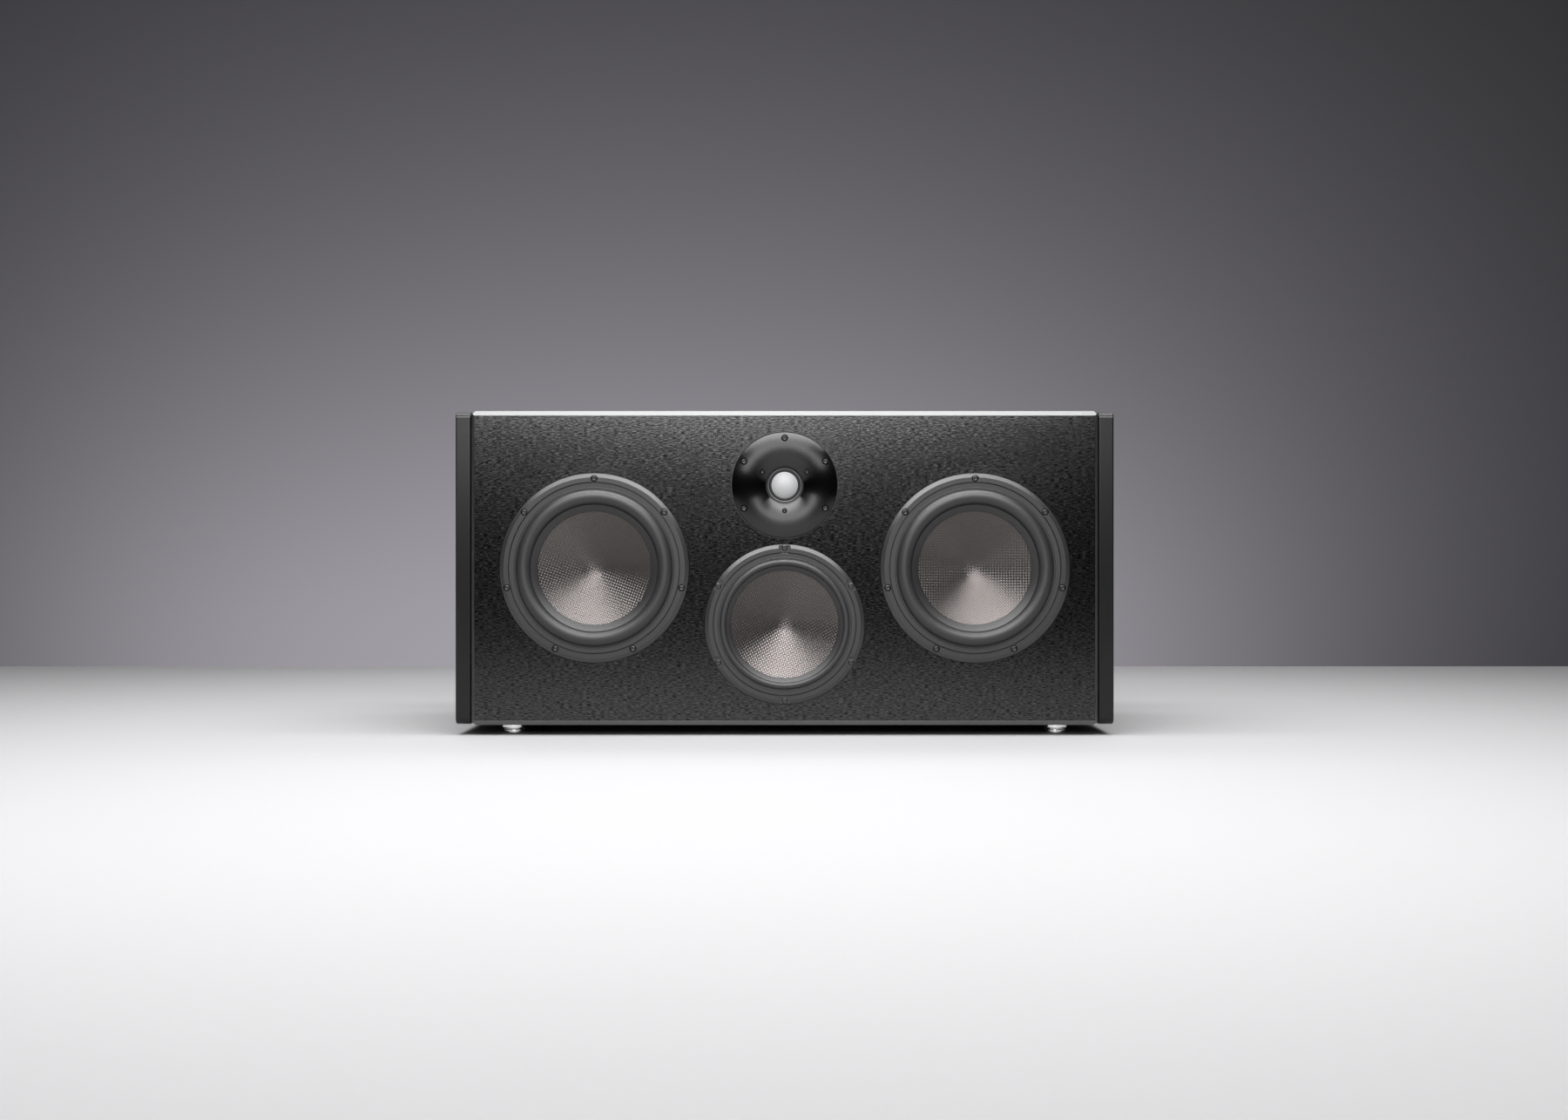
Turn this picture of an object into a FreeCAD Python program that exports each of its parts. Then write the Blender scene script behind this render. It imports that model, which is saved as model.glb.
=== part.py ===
# Center channel speaker: a sealed metal cabinet with two woofers, a midrange driver and a dome tweeter.
# Millimetres. X runs to the right, Y to the rear and Z up, from the floor below the middle of the speaker.

import FreeCAD
import Part
import Sketcher
import math
import os

V = FreeCAD.Vector

SIZES = {
    # Cabinet
    "overall_width": 698.0,
    "body_height": 333.0,
    "cabinet_depth": 380.0,
    "baffle_thickness": 20.0,
    "panel_thickness": 12.0,
    "rear_thickness": 12.0,
    "baffle_edge_bevel": 5.0,
    "baffle_end_bevel": 3.0,
    "rear_edge_bevel": 2.0,
    "body_corner_cut": 4.0,
    "divider_thickness": 8.0,
    "divider_cable_hole_radius": 7.0,
    # End panels, each on a raised land that leaves a shadow gap
    "side_thickness": 16.0,
    "side_gap": 1.3,
    "side_land_inset": 9.0,
    "side_setback": 4.0,
    "side_drop": 0.7,
    "side_corner_radius": 8.0,
    "side_edge_bevel": 1.2,
    # Feet
    "foot_height": 11.0,
    "foot_radius": 10.8,
    "foot_disc_height": 4.4,
    "foot_edge_bevel": 0.8,
    "foot_neck_radius": 9.4,
    "foot_neck_height": 0.9,
    "foot_ring_radius": 12.4,
    "foot_stud_radius": 4.0,
    "foot_stud_length": 10.0,
    "foot_stud_clearance": 0.1,
    "foot_end_inset": 58.0,
    "foot_inset": 40.0,
    # Driver seats in the baffle, with the woofers' place as a share of half the width
    "woofer_place_share": 0.5776,
    "midrange_drop": 59.5,
    "tweeter_rise": 88.0,
    "recess_depth": 6.0,
    "recess_clearance": 0.6,
    "opening_clearance": 0.8,
    # Woofers
    "woofer_flange_radius": 100.2,
    "woofer_rim_width": 9.0,
    "woofer_bevel_width": 4.2,
    "woofer_edge_proud": 0.3,
    "woofer_face_proud": 2.2,
    "woofer_groove_width": 1.0,
    "woofer_ledge_drop": 3.0,
    "woofer_ledge_thickness": 4.0,
    "woofer_seat_width": 8.2,
    "woofer_neck_depth": 12.0,
    "woofer_basket_wall": 4.0,
    "woofer_basket_depth": 64.0,
    "woofer_basket_floor": 6.0,
    "woofer_basket_back_radius": 62.0,
    "woofer_basket_bore": 34.0,
    "woofer_window_count": 7,
    "woofer_spoke_width": 10.0,
    "woofer_window_margin": 3.0,
    "woofer_surround_foot": 2.4,
    "woofer_surround_flange": 6.8,
    "woofer_roll_width": 16.4,
    "woofer_roll_height": 7.0,
    "woofer_surround_skin": 1.2,
    "woofer_glue_width": 7.0,
    "woofer_cone_angle": 27.0,
    "woofer_cone_skin": 1.4,
    "woofer_cone_round": 25.0,
    "woofer_coil_radius": 19.2,
    "woofer_former_wall": 0.5,
    "woofer_winding_wall": 0.9,
    "woofer_winding_height": 20.0,
    "woofer_magnet_gap": 0.6,
    "woofer_plate_radius": 55.0,
    "woofer_plate_thickness": 8.0,
    "woofer_magnet_radius": 60.0,
    "woofer_magnet_bore": 34.0,
    "woofer_magnet_thickness": 20.0,
    "woofer_yoke_radius": 57.0,
    "woofer_yoke_thickness": 10.0,
    "woofer_vent_radius": 6.0,
    "woofer_spider_rise": 5.0,
    "woofer_spider_rim": 5.0,
    "woofer_spider_skin": 1.0,
    "woofer_spider_wave": 2.0,
    "woofer_screw_count": 7,
    "woofer_screw_inset": 5.4,
    "woofer_spot_radius": 4.4,
    "woofer_spot_drop": 0.4,
    # Midrange driver
    "midrange_flange_radius": 84.5,
    "midrange_rim_width": 8.4,
    "midrange_bevel_width": 4.0,
    "midrange_edge_proud": 0.3,
    "midrange_face_proud": 2.2,
    "midrange_groove_width": 0.9,
    "midrange_ledge_drop": 3.0,
    "midrange_ledge_thickness": 4.0,
    "midrange_seat_width": 7.6,
    "midrange_neck_depth": 10.0,
    "midrange_basket_wall": 4.0,
    "midrange_basket_depth": 54.0,
    "midrange_basket_floor": 6.0,
    "midrange_basket_back_radius": 54.0,
    "midrange_basket_bore": 30.0,
    "midrange_window_count": 6,
    "midrange_spoke_width": 9.0,
    "midrange_window_margin": 3.0,
    "midrange_surround_foot": 2.4,
    "midrange_surround_flange": 6.2,
    "midrange_roll_width": 7.2,
    "midrange_roll_height": 3.0,
    "midrange_surround_skin": 1.0,
    "midrange_glue_width": 4.9,
    "midrange_cone_angle": 26.0,
    "midrange_cone_skin": 1.2,
    "midrange_cone_round": 22.0,
    "midrange_coil_radius": 16.0,
    "midrange_former_wall": 0.5,
    "midrange_winding_wall": 0.8,
    "midrange_winding_height": 12.0,
    "midrange_magnet_gap": 0.6,
    "midrange_plate_radius": 46.0,
    "midrange_plate_thickness": 6.0,
    "midrange_magnet_radius": 50.0,
    "midrange_magnet_bore": 28.0,
    "midrange_magnet_thickness": 16.0,
    "midrange_yoke_radius": 47.0,
    "midrange_yoke_thickness": 8.0,
    "midrange_vent_radius": 5.0,
    "midrange_spider_rise": 4.0,
    "midrange_spider_rim": 5.0,
    "midrange_spider_skin": 1.0,
    "midrange_spider_wave": 1.6,
    "midrange_screw_count": 6,
    "midrange_screw_inset": 3.5,
    "midrange_spot_radius": 6.4,
    "midrange_spot_drop": 1.7,
    # Screws of the cone drivers and of the tweeter's rim
    "screw_head_radius": 3.3,
    "screw_head_height": 2.4,
    "screw_crown_bevel": 0.8,
    "screw_shank_radius": 2.4,
    "screw_length": 15.0,
    "screw_socket_radius": 1.8,
    "screw_socket_depth": 1.5,
    "counterbore_clearance": 0.9,
    "counterbore_depth": 3.2,
    "shank_clearance": 0.3,
    "thread_clearance": 0.1,
    "screw_start_angle": 90.0,
    # Tweeter
    "tweeter_plate_radius": 55.6,
    "tweeter_edge_drop": 0.2,
    "tweeter_crown": 3.7,
    "tweeter_throat_radius": 20.0,
    "tweeter_throat_drop": 1.9,
    "tweeter_shoulder_drop": 5.0,
    "tweeter_boss_radius": 43.0,
    "tweeter_boss_depth": 9.0,
    "tweeter_ring_radius": 23.0,
    "tweeter_ring_clearance": 0.2,
    "tweeter_dome_radius": 13.8,
    "tweeter_dome_height": 4.6,
    "tweeter_dome_skin": 0.4,
    "tweeter_dome_drop": 6.6,
    "tweeter_dome_gap": 0.3,
    "tweeter_roll_width": 4.4,
    "tweeter_roll_height": 1.5,
    "tweeter_surround_skin": 0.4,
    "tweeter_former_wall": 0.4,
    "tweeter_winding_wall": 0.4,
    "tweeter_winding_height": 3.0,
    "tweeter_magnet_gap": 0.4,
    "tweeter_front_radius": 38.0,
    "tweeter_front_thickness": 4.0,
    "tweeter_magnet_radius": 40.0,
    "tweeter_magnet_bore": 22.0,
    "tweeter_magnet_thickness": 10.0,
    "tweeter_yoke_radius": 38.0,
    "tweeter_yoke_thickness": 5.0,
    "tweeter_vent_radius": 5.0,
    "tweeter_chamber_radius": 36.0,
    "tweeter_chamber_wall": 2.0,
    "tweeter_chamber_depth": 30.0,
    "tweeter_screw_pitch": 49.7,
    "tweeter_screw_count": 5,
    "tweeter_screw_start_angle": -30.0,
    "tweeter_screw_sweep_angle": 240.0,
    "tweeter_seat_depth": 2.6,
    "clamp_screw_pitch": 27.3,
    "clamp_screw_count": 3,
    "clamp_screw_start_angle": 30.0,
    "clamp_screw_seat": 3.0,
    "clamp_head_radius": 2.4,
    "clamp_head_height": 2.0,
    "clamp_shank_radius": 1.4,
    "clamp_screw_length": 9.0,
    "clamp_counterbore_clearance": 0.7,
    "clamp_socket_radius": 1.2,
    "clamp_socket_depth": 1.2,
    # Rear panel screws
    "rear_screw_columns": 6,
    "rear_screw_margin": 24.0,
    "rear_screw_head_radius": 4.2,
    "rear_screw_head_height": 4.0,
    "rear_screw_shank_radius": 2.4,
    "rear_screw_length": 22.0,
    "rear_screw_sink": 4.6,
    # Binding posts
    "post_spacing": 40.0,
    "post_drop": 96.0,
    "insulator_radius": 12.0,
    "insulator_thickness": 4.0,
    "insulator_bush_radius": 7.0,
    "insulator_clearance": 0.1,
    "post_radius": 4.0,
    "post_clearance": 0.1,
    "post_collar_radius": 9.0,
    "post_collar_thickness": 3.0,
    "post_length": 29.0,
    "post_bore_radius": 2.05,
    "post_bore_depth": 18.0,
    "post_tail": 24.0,
    "post_nut_radius": 7.5,
    "post_nut_height": 5.0,
    "running_gap": 0.3,
    "cap_nut_wall": 2.2,
    "cap_nut_length": 19.0,
    "cap_radius": 9.5,
    "cap_bevel": 1.2,
    "cap_lip": 2.0,
    "cap_mouth_radius": 3.0,
    # Crossover
    "board_width": 150.0,
    "board_length": 220.0,
    "board_thickness": 2.0,
    "board_standoff_height": 8.0,
    "board_standoff_radius": 4.0,
    "board_standoff_inset": 10.0,
    "board_rear_gap": 24.0,
    "coil_outer_radius": 30.0,
    "coil_inner_radius": 14.0,
    "coil_height": 26.0,
    "coil_inset": 36.0,
    "capacitor_radius": 14.0,
    "capacitor_height": 42.0,
    "capacitor_pitch": 34.0,
    "resistor_width": 10.0,
    "resistor_length": 46.0,
    "resistor_height": 10.0,
    "resistor_pitch": 16.0,
    # Inside wiring: twin leads with one round bend in each plane
    "lead_radius": 1.6,
    "lead_bend_radius": 8.0,
    "lead_edge_inset": 4.0,
    "tweeter_lead_inset": 16.0,
    "tweeter_lead_offset": 8.0,
}

SPIDER_FOLDS = 8
SAME_PLACE = 0.01
FRONT_TURN = FreeCAD.Rotation(V(1, 0, 0), 90)
REAR_TURN = FreeCAD.Rotation(V(1, 0, 0), -90)
PLAIN_TURN = FreeCAD.Rotation()


class Size:
    """A length or an angle: its expression on the sheet's cells, and its present value."""

    def __init__(self, text, value):
        self.text = text
        self.value = value

    def __add__(self, other):
        return joined(self, "+", other)

    def __radd__(self, other):
        return joined(other, "+", self)

    def __sub__(self, other):
        return joined(self, "-", other)

    def __rsub__(self, other):
        return joined(other, "-", self)

    def __mul__(self, other):
        return joined(self, "*", other)

    def __rmul__(self, other):
        return joined(other, "*", self)

    def __truediv__(self, other):
        return joined(self, "/", other)

    def __rtruediv__(self, other):
        return joined(other, "/", self)

    def __neg__(self):
        return joined(0.0, "-", self)


def as_size(amount):
    """A Size as it is, and a number as a Size."""
    if isinstance(amount, Size):
        return amount
    return Size(f"({float(amount):.12g})", float(amount))


def joined(left, sign, right):
    """Two sizes joined by a sign, in value and in expression."""
    left = as_size(left)
    right = as_size(right)
    results = {
        "+": left.value + right.value,
        "-": left.value - right.value,
        "*": left.value * right.value,
        "/": left.value / right.value if right.value else math.inf,
    }
    return Size(f"({left.text} {sign} {right.text})", results[sign])


def sine(angle):
    """The sine of an angle in degrees."""
    return Size(f"sin({as_size(angle).text})", math.sin(math.radians(as_size(angle).value)))


def cosine(angle):
    """The cosine of an angle in degrees."""
    return Size(f"cos({as_size(angle).text})", math.cos(math.radians(as_size(angle).value)))


def tangent(angle):
    """The tangent of an angle in degrees."""
    return Size(f"tan({as_size(angle).text})", math.tan(math.radians(as_size(angle).value)))


def root(amount):
    """The square root of an amount."""
    return Size(f"sqrt({as_size(amount).text})", math.sqrt(as_size(amount).value))


def cell(name):
    """The size that the sheet keeps under this name."""
    return Size(f"Sizes.{name}", float(SIZES[name]))


def make_sheet(doc):
    """The spreadsheet with one named cell for each size."""
    sheet = doc.addObject("Spreadsheet::Sheet", "Sizes")
    for row, (name, amount) in enumerate(SIZES.items(), start=1):
        sheet.set(f"A{row}", name)
        sheet.set(f"B{row}", str(amount))
        sheet.setAlias(f"B{row}", name)
    doc.recompute()
    return sheet


doc = FreeCAD.newDocument("CenterSpeaker")
make_sheet(doc)

# Layout: the box that the speaker fills is centred on the origin in X and Y, and stands on Z = 0.
half_width = cell("overall_width") / 2
body_width = cell("overall_width") - 2 * (cell("side_thickness") + cell("side_gap"))
inner_height = cell("body_height") - 2 * cell("panel_thickness")
inner_depth = cell("cabinet_depth") - cell("baffle_thickness") - cell("rear_thickness")
woofer_ledge = cell("woofer_face_proud") - cell("woofer_ledge_drop")
front_reach = woofer_ledge + cell("woofer_surround_foot") + cell("woofer_roll_height")
cap_inside = cell("insulator_thickness") + cell("post_collar_thickness") + cell("running_gap")
cap_end = cell("post_length") + cell("running_gap") + cell("cap_lip")
front_y = (front_reach - cell("cabinet_depth") - cap_end) / 2
rear_y = front_y + cell("cabinet_depth")
body_bottom = cell("foot_height")
body_middle = body_bottom + cell("body_height") / 2
inner_bottom = body_bottom + cell("panel_thickness")
inner_front = front_y + cell("baffle_thickness")
foot_offset = half_width - cell("foot_end_inset")
woofer_offset = half_width * cell("woofer_place_share")
cable_hole_y = inner_depth / 2
cable_hole_z = inner_height / 2


def bind(thing, path, amount):
    """Ties a property to the sheet."""
    thing.setExpression(path, as_size(amount).text)


def new_body(label, turn=PLAIN_TURN, at=(0, 0, 0)):
    """An empty body with its name and its bound place."""
    body = doc.addObject("PartDesign::Body", label)
    body.Label = label
    body.Placement = FreeCAD.Placement(V(*(as_size(step).value for step in at)), turn)
    for axis, step in zip("xyz", at):
        bind(body, f"Placement.Base.{axis}", step)
    return body


def origin_part(body, role):
    """One of the body's own origin planes or axes."""
    return next(part for part in body.Origin.OriginFeatures if part.Role == role)


def new_sketch(body, name, plane="XY_Plane", shift=(0, 0, 0), spin=None, spin_axis=V(0, 0, 1)):
    """A sketch on an origin plane, shifted in the plane and along its normal, and turned about an axis."""
    sketch = body.newObject("Sketcher::SketchObject", name)
    sketch.AttachmentSupport = [(origin_part(body, plane), "")]
    sketch.MapMode = "FlatFace"
    turn = FreeCAD.Rotation(spin_axis, as_size(spin or 0).value)
    sketch.AttachmentOffset = FreeCAD.Placement(V(*(as_size(step).value for step in shift)), turn)
    for axis, step in zip("xyz", shift):
        bind(sketch, f"AttachmentOffset.Base.{axis}", step)
    return sketch


def place_point(sketch, edge, end, across, up):
    """Fixes one end of an edge at its two coordinates, each bound to the sheet."""
    for kind, amount, axis in (("DistanceX", across, -2), ("DistanceY", up, -1)):
        if not isinstance(amount, Size) and amount == 0:
            sketch.addConstraint(Sketcher.Constraint("PointOnObject", edge, end, axis))
            continue
        amount = as_size(amount)
        index = sketch.addConstraint(Sketcher.Constraint(kind, -1, 1, edge, end, amount.value))
        bind(sketch, f"Constraints[{index}]", amount)


def arc_edge(start, end, rise):
    """The arc from start to end that stands off its chord by rise, to the left where that is positive."""
    chord = end - start
    half = chord.Length / 2
    radius = (half**2 + rise**2) / (2 * abs(rise))
    left = V(-chord.y, chord.x, 0) / chord.Length
    toward = left if rise > 0 else -left
    centre = (start + end) / 2 + toward * (abs(rise) - radius)
    first, last = (end, start) if rise > 0 else (start, end)
    from_angle = math.atan2(first.y - centre.y, first.x - centre.x)
    to_angle = math.atan2(last.y - centre.y, last.x - centre.x)
    if to_angle < from_angle:
        to_angle += 2 * math.pi
    return Part.ArcOfCircle(Part.Circle(centre, V(0, 0, 1), radius), from_angle, to_angle)


def draw_outline(sketch, corners, closed=True):
    """A closed or open run through corners (across, up). A third value is the rise of an arc to it."""
    points = [V(as_size(corner[0]).value, as_size(corner[1]).value, 0) for corner in corners]
    edges = {}
    for index in range(0 if closed else 1, len(corners)):
        start = points[index - 1]
        end = points[index]
        if len(corners[index]) == 2:
            edges[index] = (sketch.addGeometry(Part.LineSegment(start, end), False), 1, 2)
            continue
        rise = as_size(corners[index][2])
        edge = sketch.addGeometry(arc_edge(start, end, rise.value), False)
        edges[index] = (edge, 2, 1) if rise.value > 0 else (edge, 1, 2)
    for index, (edge, first, last) in edges.items():
        place_point(sketch, edge, last, corners[index][0], corners[index][1])
        before = edges.get((index - 1) % len(corners))
        if before:
            sketch.addConstraint(Sketcher.Constraint("Coincident", before[0], before[2], edge, first))
        else:
            place_point(sketch, edge, first, corners[index - 1][0], corners[index - 1][1])
    for index, (edge, _, _) in edges.items():
        if len(corners[index]) == 3:
            place_arc(sketch, edge, corners[index - 1], corners[index])


def place_arc(sketch, edge, before, corner):
    """Fixes an arc between its two placed ends by the place of its centre."""
    rise = as_size(corner[2])
    across = as_size(corner[0]) - before[0]
    up = as_size(corner[1]) - before[1]
    chord_squared = across * across + up * up
    stand_off = (rise * rise - chord_squared / 4) / (2 * rise * root(chord_squared))
    if abs(across.value) >= abs(up.value):
        kind = "DistanceY"
        centre = (as_size(corner[1]) + before[1]) / 2 + across * stand_off
    else:
        kind = "DistanceX"
        centre = (as_size(corner[0]) + before[0]) / 2 - up * stand_off
    key = sketch.addConstraint(Sketcher.Constraint(kind, -1, 1, edge, 3, centre.value))
    bind(sketch, f"Constraints[{key}]", centre)


def draw_circle(sketch, across, up, radius):
    """A circle at its bound centre."""
    radius = as_size(radius)
    centre = V(as_size(across).value, as_size(up).value, 0)
    edge = sketch.addGeometry(Part.Circle(centre, V(0, 0, 1), radius.value), False)
    place_point(sketch, edge, 3, across, up)
    key = sketch.addConstraint(Sketcher.Constraint("Radius", edge, radius.value))
    bind(sketch, f"Constraints[{key}]", radius)


def box_corners(low_x, high_x, low_y, high_y):
    """The four corners of a rectangle."""
    return [(low_x, low_y), (high_x, low_y), (high_x, high_y), (low_x, high_y)]


def cut_corner_box(width, height, cut):
    """The eight corners of a centred rectangle with its corners cut off."""
    across = width / 2
    up = height / 2
    return [
        (cut - across, -up),
        (across - cut, -up),
        (across, cut - up),
        (across, up - cut),
        (across - cut, up),
        (cut - across, up),
        (-across, up - cut),
        (-across, cut - up),
    ]


def turned(label, corners, turn=PLAIN_TURN, at=(0, 0, 0)):
    """A body turned about its own Z from a half section of (radius, height) corners."""
    body = new_body(label, turn, at)
    sketch = new_sketch(body, "Section", "XZ_Plane")
    draw_outline(sketch, corners)
    turning = body.newObject("PartDesign::Revolution", "Turning")
    turning.Profile = sketch
    turning.ReferenceAxis = (sketch, ["V_Axis"])
    turning.Angle = 360
    return body


def pad(body, name, sketch, length, backwards=False):
    """A sketch raised along its normal, or against it."""
    feature = body.newObject("PartDesign::Pad", name)
    feature.Profile = sketch
    feature.Reversed = backwards
    bind(feature, "Length", length)
    return feature


def pocket(body, name, sketch, depth=None):
    """A sketch cut against its normal, to a depth or right through."""
    feature = body.newObject("PartDesign::Pocket", name)
    feature.Profile = sketch
    if depth is None:
        feature.Type = "ThroughAll"
    else:
        bind(feature, "Length", depth)
    return feature


def polar(body, name, originals, sketch, count, sweep=None):
    """Features repeated about the sketch's normal, over a full turn or from the first to the last."""
    feature = body.newObject("PartDesign::PolarPattern", name)
    feature.Originals = originals
    feature.Axis = (sketch, ["N_Axis"])
    bind(feature, "Angle", sweep or 360)
    bind(feature, "Occurrences", count)
    body.Tip = feature
    return feature


def linear(body, name, originals, role, length, count):
    """Features repeated along one of the body's axes."""
    feature = body.newObject("PartDesign::LinearPattern", name)
    feature.Originals = originals
    feature.Direction = (origin_part(body, role), [""])
    bind(feature, "Length", length)
    bind(feature, "Occurrences", count)
    body.Tip = feature
    return feature


def edges_where(feature, test):
    """The names of the feature's edges that pass a test."""
    doc.recompute()
    return [f"Edge{i}" for i, edge in enumerate(feature.Shape.Edges, start=1) if test(edge)]


def dress(body, kind, name, feature, test, path, amount):
    """A chamfer or fillet on the edges that pass a test."""
    dressed = body.newObject(f"PartDesign::{kind}", name)
    dressed.Base = (feature, edges_where(feature, test))
    bind(dressed, path, amount)
    return dressed


def at_front_edge(axis, reach):
    """A test for the edges round a plate's front face that lie at a reach to either side along an axis."""

    def test(edge):
        box = edge.BoundBox
        low = getattr(box, f"{axis}Min")
        length = getattr(box, f"{axis}Length")
        at_reach = abs(abs(low) - reach.value) < SAME_PLACE
        return box.ZMin > -SAME_PLACE and length < SAME_PLACE and at_reach

    return test


def hole_ring(body, name, ring, radius, top, depth=None, middle=(0, 0)):
    """A ring of round holes cut down from the height top, about a middle in the body's plane."""
    pitch, count, start, sweep = ring
    sketch = new_sketch(body, f"{name}Circle", shift=(middle[0], middle[1], top), spin=start)
    bind(sketch, "AttachmentOffset.Rotation.Angle", start)
    draw_circle(sketch, pitch, 0, radius)
    first = pocket(body, name, sketch, depth)
    return polar(body, f"{name}Ring", [first], sketch, count, sweep)


def hexagon(middle_x, radius):
    """The six corners of a hexagon about a middle on the sketch's own axis."""
    return [
        (middle_x + radius * math.cos(math.radians(60 * k)), radius * math.sin(math.radians(60 * k)))
        if k % 3
        else (middle_x + radius * math.cos(math.radians(60 * k)), 0)
        for k in range(6)
    ]


def screw_ring(label, ring, seat, head_radius, head_height, shank_radius, length, socket, turn, at):
    """A ring of socket screws whose heads sit at the height seat."""
    pitch, count, start, sweep = ring
    body = new_body(label, turn, at)
    body.AllowCompound = True
    sketch = new_sketch(body, "Section", "XZ_Plane", spin=start, spin_axis=V(0, 1, 0))
    bind(sketch, "AttachmentOffset.Rotation.Angle", start)
    top = seat + head_height
    corners = [
        (pitch, seat - length),
        (pitch + shank_radius, seat - length),
        (pitch + shank_radius, seat),
        (pitch + head_radius, seat),
        (pitch + head_radius, seat + head_height / 2),
        (pitch + head_radius - cell("screw_crown_bevel"), top),
        (pitch, top),
    ]
    draw_outline(sketch, corners)
    axis = sketch.addGeometry(Part.LineSegment(V(pitch.value, 0, 0), V(pitch.value, 1, 0)), True)
    place_point(sketch, axis, 1, pitch, seat)
    place_point(sketch, axis, 2, pitch, top)
    shaft = body.newObject("PartDesign::Revolution", "Shaft")
    shaft.Profile = sketch
    shaft.ReferenceAxis = (sketch, ["Axis0"])
    shaft.Angle = 360
    socket_radius, socket_depth = socket
    drive = new_sketch(body, "Drive", shift=(0, 0, top), spin=start)
    bind(drive, "AttachmentOffset.Rotation.Angle", start)
    draw_outline(drive, hexagon(pitch, socket_radius))
    cut = pocket(body, "Socket", drive, socket_depth)
    polar(body, "Ring", [shaft, cut], drive, count, sweep)
    return body


# Cone drivers
class ConeLayout:
    """The radii and heights of one kind of cone driver, from its own sizes. Height 0 is the baffle's face."""

    def __init__(self, kind):
        self.kind = kind
        size = self.size
        self.seat = -cell("recess_depth")
        self.flange = size("flange_radius")
        self.neck = self.flange - size("seat_width")
        self.rim_inner = self.flange - size("rim_width")
        self.ledge = size("face_proud") - size("ledge_drop")
        self.surround_outer = self.rim_inner - size("groove_width")
        self.roll_outer = self.surround_outer - size("surround_flange")
        self.roll_inner = self.roll_outer - size("roll_width")
        self.cloth = self.roll_inner - size("glue_width")
        self.surround_top = self.ledge + size("surround_foot")
        self.opening = self.roll_outer - size("surround_skin")
        self.slope = tangent(size("cone_angle"))
        self.cone_rim = self.surround_top - size("surround_skin") - cell("running_gap")
        self.tangent_radius = size("cone_round") * sine(size("cone_angle"))
        self.tangent_height = self.cone_front(self.tangent_radius)
        self.dip = size("cone_round") * (1 - cosine(size("cone_angle")))
        self.skin_drop = size("cone_skin") / cosine(size("cone_angle"))
        self.former_outer = size("coil_radius") + size("former_wall")
        self.winding_outer = self.former_outer + size("winding_wall")
        self.back = -size("basket_depth")
        self.floor = self.back + size("basket_floor")
        self.shoulder = self.seat - size("neck_depth")
        self.plate_back = self.back - size("plate_thickness")
        self.magnet_back = self.plate_back - size("magnet_thickness")
        self.yoke_back = self.magnet_back - size("yoke_thickness")
        self.coil_middle = self.back - size("plate_thickness") / 2
        self.coil_bottom = self.coil_middle - size("winding_height") / 2
        screw_pitch = self.flange - size("screw_inset")
        self.ring = (screw_pitch, size("screw_count"), cell("screw_start_angle"), None)
        self.screw_seat = size("face_proud") - cell("counterbore_depth")

    def size(self, name):
        """One of this driver's own sizes."""
        return cell(f"{self.kind}_{name}")

    def cone_front(self, radius):
        """The height of the cone's straight front wall at a radius."""
        return self.cone_rim - (self.roll_inner - radius) * self.slope

    def cone_back(self, radius):
        """The height of the cone's straight back wall at a radius."""
        return self.cone_front(radius) - self.skin_drop


WOOFER = ConeLayout("woofer")
MIDRANGE = ConeLayout("midrange")
divider_offset = (MIDRANGE.neck + woofer_offset - WOOFER.neck) / 2


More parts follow.
